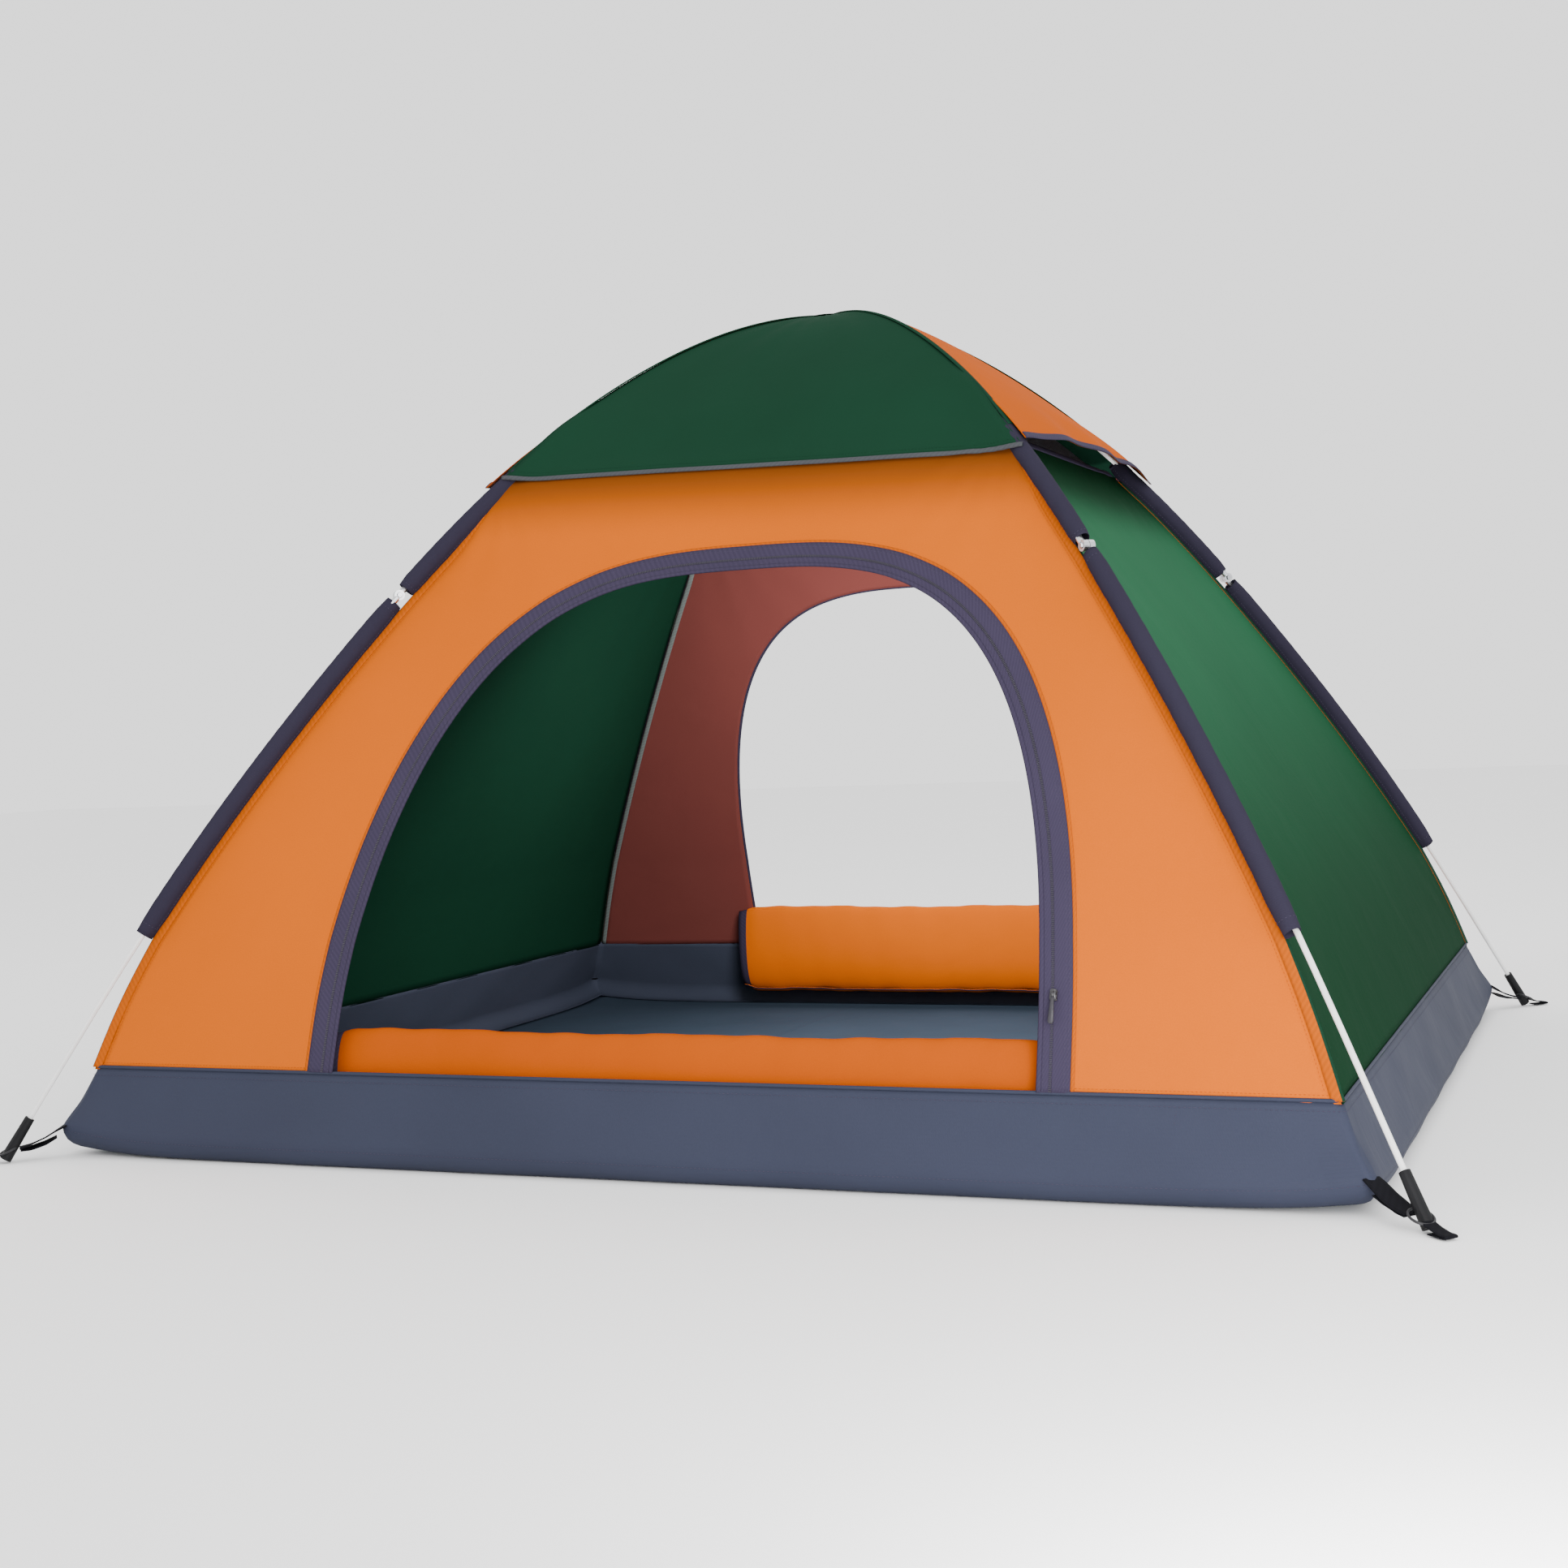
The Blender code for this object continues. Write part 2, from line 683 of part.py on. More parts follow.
def socket_mesh(name, toward, side):
    """A socket whose lug turns on the elbow pin; side is the rod's offset across the rib."""
    s = share_at(0.5 * (0.0135 + SOCKET_LONG), toward)
    d = rod(s) - elbow
    d = Vector((d[0], 0, d[1])).normalized()
    sign = math.copysign(1, side)
    o = new_object(
        name + "_work",
        cylinder_mesh(name, LUG_R, LUG_R, (0, sign * GAP, 0), (0, sign * 0.0088, 0), 20),
        M_SOCKET,
    )
    mid = Vector((0, side, 0))
    boolean(
        o,
        "UNION",
        cylinder_mesh("barrel", SOCKET_R, SOCKET_R, mid + d * 0.0045, mid + d * SOCKET_LONG, 16),
    )
    boolean(
        o,
        "DIFFERENCE",
        cylinder_mesh("bore", SOCKET_BORE, SOCKET_BORE, mid + d * 0.0128, mid + d * (SOCKET_LONG + 0.01), 12),
    )
    boolean(
        o,
        "DIFFERENCE",
        cylinder_mesh("pin_hole", PIN_R + 0.0005, PIN_R + 0.0005, (0, -0.03, 0), (0, 0.03, 0), 12),
    )
    done = o.data
    bpy.data.objects.remove(o, do_unlink=True)
    return done


def pin_mesh():
    o = new_object("pin_work", cylinder_mesh("pin", PIN_R, PIN_R, (0, -0.0105, 0), (0, 0.0105, 0), 12), M_PIN)
    for a in (-1, 1):
        boolean(o, "UNION", cylinder_mesh("head", 0.0044, 0.0036, (0, a * 0.0093, 0), (0, a * 0.0116, 0), 12))
    done = o.data
    bpy.data.objects.remove(o, do_unlink=True)
    return done


foot_end = rod(1.0)
foot_dir = rod(0.95) - foot_end
foot_dir = Vector((foot_dir[0], 0, foot_dir[1])).normalized()
foot_tilt = math.hypot(foot_dir[0], 0)
foot_mid = Vector((foot_end[0], LAP, FERRULE_FOOT_R * abs(foot_dir[0]) + 0.0002))


def ferrule_mesh():
    shift = Vector((elbow[0], 0, elbow[1]))
    a = foot_mid - shift
    o = new_object(
        "ferrule_work",
        cylinder_mesh("ferrule", FERRULE_FOOT_R, FERRULE_TOP_R, a, a + foot_dir * FERRULE_LONG, 14),
        M_FOOT,
    )
    boolean(
        o,
        "DIFFERENCE",
        cylinder_mesh("bore", ROD_R + 0.0005, ROD_R + 0.0005, a + foot_dir * 0.020, a + foot_dir * 0.09, 10),
    )
    done = o.data
    bpy.data.objects.remove(o, do_unlink=True)
    return done


def lower_rib_mesh():
    """Follows the rib's curve, then runs straight down the middle of the ferrule."""
    points = leg_points(share_at(0.0135, 1), 0.935, 12, elbow, LAP)
    shift = Vector((elbow[0], 0, elbow[1]))
    points += [tuple(foot_mid - shift + foot_dir * k) for k in (0.060, 0.0215)]
    return tube_mesh("lower_rib", points, ROD_R)


def sleeve_mesh(name, span, origin, stations):
    """An oval tube of cloth round the rib, open at both ends."""
    bm = bmesh.new()
    sides = 10
    outer, inner = [], []
    for s in np.linspace(*span, stations):
        c, q = rod(s), rod(s, 1.0)
        n = q - c
        for rings, wall in ((outer, 0.0), (inner, SLEEVE_WALL)):
            ring = []
            for i in range(sides):
                a = 2 * math.pi * i / sides
                up, out = (SLEEVE_HALF_HIGH - wall) * math.sin(a), (SLEEVE_HALF_WIDE - wall) * math.cos(a)
                ring.append(bm.verts.new((c[0] + n[0] * up - origin[0], out, c[1] + n[1] * up - origin[1])))
            rings.append(ring)
    for rings in (outer, inner):
        for a, b in zip(rings[:-1], rings[1:]):
            for j in range(sides):
                k = (j + 1) % sides
                bm.faces.new((a[j], b[j], b[k], a[k]))
    for end in (0, -1):
        for j in range(sides):
            k = (j + 1) % sides
            bm.faces.new((outer[end][j], outer[end][k], inner[end][k], inner[end][j]))
    m = mesh_of(bm, name)
    m.shade_smooth()
    return m


UPPER_RIB = upper_rib_mesh()
LOWER_RIB = lower_rib_mesh()
UPPER_SOCKET = socket_mesh("upper_socket", -1, -LAP)
LOWER_SOCKET = socket_mesh("lower_socket", 1, LAP)
ELBOW_PIN = pin_mesh()
FERRULE = ferrule_mesh()
UPPER_SLEEVE = sleeve_mesh("upper_sleeve", SLEEVE_UPPER, hinge, 5)
LOWER_SLEEVE = sleeve_mesh("lower_sleeve", SLEEVE_LOWER, elbow, 9)
for m in (UPPER_SOCKET, LOWER_SOCKET, ELBOW_PIN, FERRULE):
    m.shade_smooth()
    m.set_sharp_from_angle(angle=math.radians(35))

for leg, azimuth in AZIMUTH.items():
    d = Vector((math.cos(azimuth), math.sin(azimuth), 0))
    top = empty(f"rib_hinge_{leg}", Vector(d * HINGE_R), azimuth, hub_axis)
    low = empty(
        f"elbow_{leg}", (elbow[0] - hinge[0], 0, elbow[1] - hinge[1]), 0.0, top
    )
    new_object(f"upper_rib_{leg}", UPPER_RIB, M_ROD, top)
    sleeve = new_object(f"upper_sleeve_{leg}", UPPER_SLEEVE, M_SLEEVE, top)
    new_object(f"upper_socket_{leg}", UPPER_SOCKET, M_SOCKET, low)
    new_object(f"elbow_pin_{leg}", ELBOW_PIN, M_PIN, low)
    new_object(f"lower_rib_{leg}", LOWER_RIB, M_ROD, low)
    new_object(f"lower_socket_{leg}", LOWER_SOCKET, M_SOCKET, low)
    new_object(f"foot_ferrule_{leg}", FERRULE, M_FOOT, low)
    new_object(f"lower_sleeve_{leg}", LOWER_SLEEVE, M_SLEEVE, low)

# ------------------------------------------------------------------ corner webbing
tub_corner = TUB_FOOT_SHARE * REACH
for leg, azimuth in AZIMUTH.items():
    # from the tub's corner out to the ferrule, on edge where it meets the tub
    path = [
        (tub_corner + 0.0040, 0.0225),
        (tub_corner + 0.022, 0.0160),
        (tub_corner + 0.040, 0.0145),
        (REACH - 0.0215, 0.0165),
    ]
    rows = [[(r, t, z) for r, z in path] for t in (-0.010, 0.010)]
    m = grid_mesh("strap", rows)
    m.transform(Matrix.Rotation(azimuth, 4, "Z"))
    strap = new_object(f"corner_strap_{leg}", m, M_STRAP)
    solidify(strap, 0.0016)

# ------------------------------------------------------------------ door zips
for side, wall in (("front", front_wall), ("rear", rear_wall)):
    shift = DOOR_SHIFT[side] if side == "front" else -DOOR_SHIFT[side]
    low_run, high_run = wall.run[-1] - 0.120, wall.run[-1] - 0.370
    x = DOOR_HALF_WIDE + shift - 0.5 * BAND_WIDE - 0.004
    a, b = (Vector(wall.point(x, run, 0.0055)) for run in (low_run, high_run))
    up = (b - a).normalized()
    across = Vector((1, 0, 0)) if side == "front" else Vector((-1, 0, 0))
    out = across.cross(up).normalized()
    turn = Matrix((across, up, out)).transposed().to_4x4()
    frame = empty(f"{side}_zip_axis", (0, 0, 0))
    frame.matrix_world = Matrix.Translation(a) @ turn
    body = box_mesh("slider", (-0.0045, -0.007, -0.0020), (0.0045, 0.007, 0.0022))
    o = new_object(f"{side}_zip_slider", body, material(side + "_slider", BLACK, 0.4), frame)
    bevel = o.modifiers.new("round", "BEVEL")
    bevel.width = 0.0010
    bevel.segments = 1
    pull = empty(f"{side}_pull_axis", (0, -0.0040, 0.0038), 0.0, frame)
    tab = box_mesh("pull", (-0.0036, -0.034, -0.0008), (0.0036, 0.0, 0.0008))
    o = new_object(f"{side}_zip_pull", tab, material(side + "_pull", STEEL, 0.35, 1.0), pull)
    bevel = o.modifiers.new("round", "BEVEL")
    bevel.width = 0.0004
    bevel.segments = 1

bpy.context.view_layer.update()
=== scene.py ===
"""Dome tent: cloth, seams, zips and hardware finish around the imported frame."""

import math

import bpy
import numpy as np
from mathutils import Matrix, Vector


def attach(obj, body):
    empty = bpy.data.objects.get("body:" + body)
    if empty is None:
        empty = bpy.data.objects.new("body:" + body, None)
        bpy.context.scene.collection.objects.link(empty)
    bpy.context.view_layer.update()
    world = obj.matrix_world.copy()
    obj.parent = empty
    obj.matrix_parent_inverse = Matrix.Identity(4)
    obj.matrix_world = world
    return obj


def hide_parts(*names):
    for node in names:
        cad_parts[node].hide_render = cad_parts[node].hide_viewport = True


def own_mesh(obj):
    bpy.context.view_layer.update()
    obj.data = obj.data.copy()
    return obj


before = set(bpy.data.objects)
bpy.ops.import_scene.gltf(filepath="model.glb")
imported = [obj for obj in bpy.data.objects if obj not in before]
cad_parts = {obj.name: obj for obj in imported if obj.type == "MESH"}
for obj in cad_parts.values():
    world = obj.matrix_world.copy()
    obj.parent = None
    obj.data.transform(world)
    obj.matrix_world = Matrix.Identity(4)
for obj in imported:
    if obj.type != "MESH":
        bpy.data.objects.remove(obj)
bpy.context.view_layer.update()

# ------------------------------------------------------------------ the frame's own dimensions
FOOT_X, FOOT_Y = 1.000, 0.900
REACH = math.hypot(FOOT_X, FOOT_Y)
RIB_SHARE = (0.0, 0.22, 0.42, 0.62, 0.82, 1.0)
RIB_HEIGHT = (1.246, 1.163, 0.976, 0.702, 0.366, 0.0035)
LAP = 0.0055
SLEEVE_HALF_HIGH, SLEEVE_HALF_WIDE = 0.0180, 0.0140
EAVE_SHARE, VENT_SHARE, HOOD_SHARE = 0.408, 0.385, 0.432
HOOD_STAND, PANEL_DEEP, CAP_OVER = 0.020, 0.0192, 0.0124
TUB_TOP_SHARE, TUB_FOOT_SHARE, TUB_HIGH = 0.902, 0.943, 0.128
DOOR_HALF_WIDE, BAND_WIDE = 0.553, 0.042
DOOR_TOP = {"front": 0.853, "rear": 0.868}
DOOR_SHIFT = {"front": 0.026, "rear": -0.012}
ROLL_HIGH, ROLL_THICK = {"front": 0.153, "rear": 0.178}, 0.066
ELBOW_SHARE = 0.544
SLEEVE_LOWER = (0.551, 0.845)
SLEEVE_UPPER_END = 0.537
SLEEVE_UPPER_START = 0.384   # tucked under the roof cloth
EAVE_DROP = {"front": 0.034, "rear": 0.0}   # the eave seam runs this much lower at its right end
LEGS = {"FR": (1, -1), "RR": (1, 1), "RL": (-1, 1), "FL": (-1, -1)}
AZIMUTH = {k: math.atan2(sy * FOOT_Y, sx * FOOT_X) for k, (sx, sy) in LEGS.items()}


def spline_bends(xs, ys):
    n = len(xs)
    a, b = np.zeros((n, n)), np.zeros(n)
    a[0, 0], a[0, 1] = 2 * (xs[1] - xs[0]), xs[1] - xs[0]
    b[0] = 6 * (ys[1] - ys[0]) / (xs[1] - xs[0])
    for i in range(1, n - 1):
        h0, h1 = xs[i] - xs[i - 1], xs[i + 1] - xs[i]
        a[i, i - 1], a[i, i], a[i, i + 1] = h0, 2 * (h0 + h1), h1
        b[i] = 6 * ((ys[i + 1] - ys[i]) / h1 - (ys[i] - ys[i - 1]) / h0)
    a[n - 1, n - 1] = 1
    return np.linalg.solve(a, b)


BENDS = spline_bends(RIB_SHARE, RIB_HEIGHT)


def rod_z(s):
    i = min(len(RIB_SHARE) - 2, max(0, int(np.searchsorted(RIB_SHARE, s)) - 1))
    x0, x1 = RIB_SHARE[i], RIB_SHARE[i + 1]
    h, u, w = x1 - x0, x1 - s, s - x0
    return (
        BENDS[i] * u**3 / (6 * h)
        + BENDS[i + 1] * w**3 / (6 * h)
        + (RIB_HEIGHT[i] / h - BENDS[i] * h / 6) * u
        + (RIB_HEIGHT[i + 1] / h - BENDS[i + 1] * h / 6) * w
    )


def rod(s, out=0.0):
    e = 1e-4
    dr, dz = 2 * e * REACH, rod_z(s + e) - rod_z(s - e)
    d = math.hypot(dr, dz)
    return np.array((s * REACH - dz / d * out, rod_z(s) + dr / d * out))


def smooth(x, a, b):
    t = np.clip((np.asarray(x, float) - a) / (b - a), 0, 1)
    return t * t * (3 - 2 * t)


def wall_profile(start):
    points = []
    for s in np.linspace(start, SLEEVE_LOWER[1], 60):
        deep = PANEL_DEEP
        if start == EAVE_SHARE:
            deep = -0.0035 + (PANEL_DEEP + 0.0035) * float(smooth(s, EAVE_SHARE, 0.50))
        points.append(rod(s, -deep))
    last, corner = points[-1], np.array((TUB_TOP_SHARE * REACH, TUB_HIGH))
    for t in np.linspace(0, 1, 14)[1:]:
        bow = 0.004 * math.sin(math.pi * t)
        points.append(last + (corner - last) * t + bow * np.array((0.85, 0.53)))
    return np.array(points)


def top_profile(edge_out, end, past=0.0):
    points = [
        rod(s, CAP_OVER + (edge_out - CAP_OVER) * float(smooth(s, 0.32, end)))
        for s in np.linspace(0.006, end, 50)
    ]
    if past:
        points += [rod(s, edge_out) for s in np.linspace(end, end + past, 8)[1:]]
    return np.array(points)


class Wall:
    """A panel between two ribs. x runs across it and run down its slope from its top."""

    def __init__(self, side, profile, sag=0.0, folds=0.0):
        self.side, self.sag, self.folds, self.edge_raise = side, sag, folds, 0.0
        along, across = (FOOT_X, FOOT_Y) if side in ("front", "rear") else (FOOT_Y, FOOT_X)
        r = np.vstack([profile[0] * 2 - profile[1], profile, profile[-1] * 2 - profile[-2]])
        self.depth, self.half, self.z = r[:, 0] * across / REACH, r[:, 0] * along / REACH, r[:, 1]
        run = np.concatenate([[0], np.cumsum(np.hypot(np.diff(self.depth), np.diff(self.z)))])
        self.run = run - run[1]
        self.long = float(self.run[-2])
        self.across_scale = along

    def half_at(self, run):
        return np.interp(run, self.run, self.half)

    def run_at(self, z):
        return np.interp(-np.asarray(z, float), -self.z, self.run)

    def slack(self, x, run):
        half = self.half_at(run)
        u = np.clip(np.abs(x) / np.maximum(half, 1e-3), 0, 1)
        t = np.clip(run / self.long, 0, 1)
        dip = self.sag * (1 - u**2) * np.sin(np.pi * t)
        if self.edge_raise:
            share = half / self.across_scale
            dip = dip - self.edge_raise * smooth(share, 0.29, 0.37) * np.exp(-(((half - np.abs(x)) / 0.034) ** 2))
        if self.folds:
            for sx in (-1, 1):
                for cx, cr in ((self.half_at(self.long) * sx, self.long), (self.half_at(0) * sx, 0.0)):
                    dx, dr = (x - cx) * -sx, (run - cr)
                    far = np.hypot(dx, dr) + 1e-6
                    turn = np.arctan2(np.abs(dr), dx)
                    dip = dip + self.folds * np.sin(turn * 17 + 1.3 * sx + cr) * np.exp(-far / 0.21) * smooth(far, 0.01, 0.07) * smooth(1 - u, 0.0, 0.05)
        return dip

    def P(self, x, run, lift=0.0):
        x, run, lift = np.broadcast_arrays(np.asarray(x, float), np.asarray(run, float), np.asarray(lift, float))
        e = 0.008
        d, z = np.interp(run, self.run, self.depth), np.interp(run, self.run, self.z)
        d0, d1 = np.interp(run - e, self.run, self.depth), np.interp(run + e, self.run, self.depth)
        z0, z1 = np.interp(run - e, self.run, self.z), np.interp(run + e, self.run, self.z)
        n = np.hypot(d1 - d0, z1 - z0)
        off = lift - self.slack(x, run)
        d, z = d - (z1 - z0) / n * off, z + (d1 - d0) / n * off
        if self.side == "front":
            return np.stack([x, -d, z], -1)
        if self.side == "rear":
            return np.stack([-x, d, z], -1)
        if self.side == "right":
            return np.stack([d, x, z], -1)
        return np.stack([-d, -x, z], -1)


# ------------------------------------------------------------------ materials


def nodes_of(name):
    m = bpy.data.materials.new(name)
    m.use_nodes = True
    t = m.node_tree
    return m, t, t.nodes["Principled BSDF"]


def put(t, kind, **values):
    n = t.nodes.new(kind)
    for k, v in values.items():
        if k in n.inputs:
            n.inputs[k].default_value = v
        else:
            setattr(n, k, v)
    return n


def shade(t, coords, colour, amount, scale, dark=None, light=None):
    """Soft colour variation from noise."""
    noise = put(t, "ShaderNodeTexNoise", Scale=scale, Detail=3.0, Roughness=0.55)
    t.links.new(coords, noise.inputs["Vector"])
    ramp = t.nodes.new("ShaderNodeValToRGB")
    ramp.color_ramp.elements[0].position = 0.3
    ramp.color_ramp.elements[1].position = 0.7
    lo = dark or [c * (1 - amount) for c in colour]
    hi = light or [min(1, c * (1 + amount)) for c in colour]
    ramp.color_ramp.elements[0].color = (*lo, 1)
    ramp.color_ramp.elements[1].color = (*hi, 1)
    t.links.new(noise.outputs["Fac"], ramp.inputs["Fac"])
    return ramp.outputs["Color"]


def cloth(name, colour, rough=0.82, sheen=0.0, weave=0.00055, weave_depth=0.00006, crumple=0.0011,
          vary=0.05, coat=0.0, spec=0.025, painted_shade_colour=None):
    """Woven cloth: crossing threads and soft crumple from bump, gentle colour variation, sheen, and optional painted
    shade mixed in from a vertex attribute.
    """
    m, t, b = nodes_of(name)
    tex = t.nodes.new("ShaderNodeTexCoord")
    uv, ob = tex.outputs["UV"], tex.outputs["Object"]
    base = shade(t, ob, colour, vary, 2.6)
    grain = put(t, "ShaderNodeTexNoise", Scale=520.0, Detail=2.0)
    t.links.new(uv, grain.inputs["Vector"])
    mix = t.nodes.new("ShaderNodeMix")
    mix.data_type, mix.blend_type = "RGBA", "MULTIPLY"
    mix.inputs["Factor"].default_value = 0.14
    t.links.new(base, mix.inputs[6])
    t.links.new(grain.outputs["Fac"], mix.inputs[7])
    # threads: dark gaps between yarns
    warp = put(t, "ShaderNodeTexWave", Scale=1 / (weave * 6.2832) * 0.5, Distortion=0.0)
    weft = put(t, "ShaderNodeTexWave", Scale=1 / (weave * 6.2832) * 0.5, Distortion=0.0)
    warp.bands_direction, weft.bands_direction = "X", "Y"
    for w in (warp, weft):
        t.links.new(uv, w.inputs["Vector"])
    yarn = put(t, "ShaderNodeMath", operation="MAXIMUM")
    t.links.new(warp.outputs["Fac"], yarn.inputs[0])
    t.links.new(weft.outputs["Fac"], yarn.inputs[1])
    out = mix.outputs[2]
    if painted_shade_colour:
        # painted shade: the cloth darkens toward a given shade colour, over about a hand's width under a seam and
        # wherever the per-vertex painted-shade attribute is set
        att = t.nodes.new("ShaderNodeAttribute")
        att.attribute_name = "painted_shade_amount"
        low = t.nodes.new("ShaderNodeMix")
        low.data_type, low.blend_type = "RGBA", "MIX"
        t.links.new(att.outputs["Fac"], low.inputs["Factor"])
        t.links.new(out, low.inputs[6])
        low.inputs[7].default_value = (*painted_shade_colour, 1)
        out = low.outputs[2]
    t.links.new(out, b.inputs["Base Color"])
    fine = put(t, "ShaderNodeBump", Strength=0.55, Distance=weave_depth)
    t.links.new(yarn.outputs[0], fine.inputs["Height"])
    puck = put(t, "ShaderNodeTexNoise", Scale=7.5, Detail=4.0, Roughness=0.5, Distortion=0.4)
    t.links.new(ob, puck.inputs["Vector"])
    soft = put(t, "ShaderNodeBump", Strength=0.35, Distance=crumple * 6)
    t.links.new(puck.outputs["Fac"], soft.inputs["Height"])
    t.links.new(fine.outputs["Normal"], soft.inputs["Normal"])
    t.links.new(soft.outputs["Normal"], b.inputs["Normal"])
    b.inputs["Roughness"].default_value = rough
    b.inputs["Specular IOR Level"].default_value = spec
    b.inputs["Sheen Weight"].default_value = sheen
    b.inputs["Sheen Roughness"].default_value = 0.45
    b.inputs["Coat Weight"].default_value = coat
    b.inputs["Coat Roughness"].default_value = 0.4
    return m


def webbing(name, colour, rough=0.8, rib=0.0010, depth=0.00012):
    """Flat woven tape: slanted ribs across, soft colour variation."""
    m, t, b = nodes_of(name)
    tex = t.nodes.new("ShaderNodeTexCoord")
    uv = tex.outputs["UV"]
    wave = put(t, "ShaderNodeTexWave", Scale=1 / (rib * 6.2832) * 0.5, Distortion=0.35, Detail=1.0)
    wave.bands_direction = "DIAGONAL"
    t.links.new(uv, wave.inputs["Vector"])
    ramp = t.nodes.new("ShaderNodeValToRGB")
    ramp.color_ramp.elements[0].color = (*[c * 0.90 for c in colour], 1)
    ramp.color_ramp.elements[1].color = (*[min(1, c * 1.06) for c in colour], 1)
    t.links.new(wave.outputs["Fac"], ramp.inputs["Fac"])
    cloud = put(t, "ShaderNodeTexNoise", Scale=9.0, Detail=2.0)
    t.links.new(tex.outputs["Object"], cloud.inputs["Vector"])
    mix = t.nodes.new("ShaderNodeMix")
    mix.data_type, mix.blend_type = "RGBA", "MULTIPLY"
    mix.inputs["Factor"].default_value = 0.18
    t.links.new(ramp.outputs["Color"], mix.inputs[6])
    t.links.new(cloud.outputs["Fac"], mix.inputs[7])
    t.links.new(mix.outputs[2], b.inputs["Base Color"])
    b.inputs["Specular IOR Level"].default_value = 0.05
    bump = put(t, "ShaderNodeBump", Strength=0.4, Distance=depth)
    t.links.new(wave.outputs["Fac"], bump.inputs["Height"])
    t.links.new(bump.outputs["Normal"], b.inputs["Normal"])
    b.inputs["Roughness"].default_value = rough
    b.inputs["Sheen Weight"].default_value = 0.0
    return m


def moulded(name, colour, rough=0.45, grain=0.00012, scale=900.0, metal=0.0, coat=0.0, vary=0.12, brushed=False, spec=0.5):
    """Plastic or metal: fine surface grain, wear toward a lighter tone, small roughness change."""
    m, t, b = nodes_of(name)
    tex = t.nodes.new("ShaderNodeTexCoord")
    ob = tex.outputs["Object"]
    t.links.new(shade(t, ob, colour, vary, 28.0), b.inputs["Base Color"])
    noise = put(t, "ShaderNodeTexNoise", Scale=scale, Detail=3.0)
    if brushed:
        stretch = put(t, "ShaderNodeMapping")
        stretch.inputs["Scale"].default_value = (1.0, 1.0, 0.06)
        t.links.new(ob, stretch.inputs["Vector"])
        t.links.new(stretch.outputs["Vector"], noise.inputs["Vector"])
    else:
        t.links.new(ob, noise.inputs["Vector"])
    bump = put(t, "ShaderNodeBump", Strength=0.4, Distance=grain)
    t.links.new(noise.outputs["Fac"], bump.inputs["Height"])
    t.links.new(bump.outputs["Normal"], b.inputs["Normal"])
    rub = put(t, "ShaderNodeTexNoise", Scale=60.0, Detail=3.0)
    t.links.new(ob, rub.inputs["Vector"])
    span = put(t, "ShaderNodeMapRange")
    span.inputs["To Min"].default_value = max(0.05, rough - 0.10)
    span.inputs["To Max"].default_value = min(1.0, rough + 0.12)
    t.links.new(rub.outputs["Fac"], span.inputs["Value"])
    t.links.new(span.outputs["Result"], b.inputs["Roughness"])
    b.inputs["Metallic"].default_value = metal
    b.inputs["Specular IOR Level"].default_value = spec
    b.inputs["Coat Weight"].default_value = coat
    return m


def netting(name, colour, hole=0.0021):
    """Fine open netting: threads round clear holes."""
    m, t, b = nodes_of(name)
    tex = t.nodes.new("ShaderNodeTexCoord")
    uv = tex.outputs["UV"]
    cells = put(t, "ShaderNodeTexVoronoi", Scale=1 / hole)
    cells.feature = "DISTANCE_TO_EDGE"
    t.links.new(uv, cells.inputs["Vector"])
    cut = put(t, "ShaderNodeMath", operation="LESS_THAN")
    cut.inputs[1].default_value = 0.16
    t.links.new(cells.outputs["Distance"], cut.inputs[0])
    t.links.new(cut.outputs[0], b.inputs["Alpha"])
    t.links.new(shade(t, tex.outputs["Object"], colour, 0.1, 30.0), b.inputs["Base Color"])
    b.inputs["Roughness"].default_value = 0.85
    return m


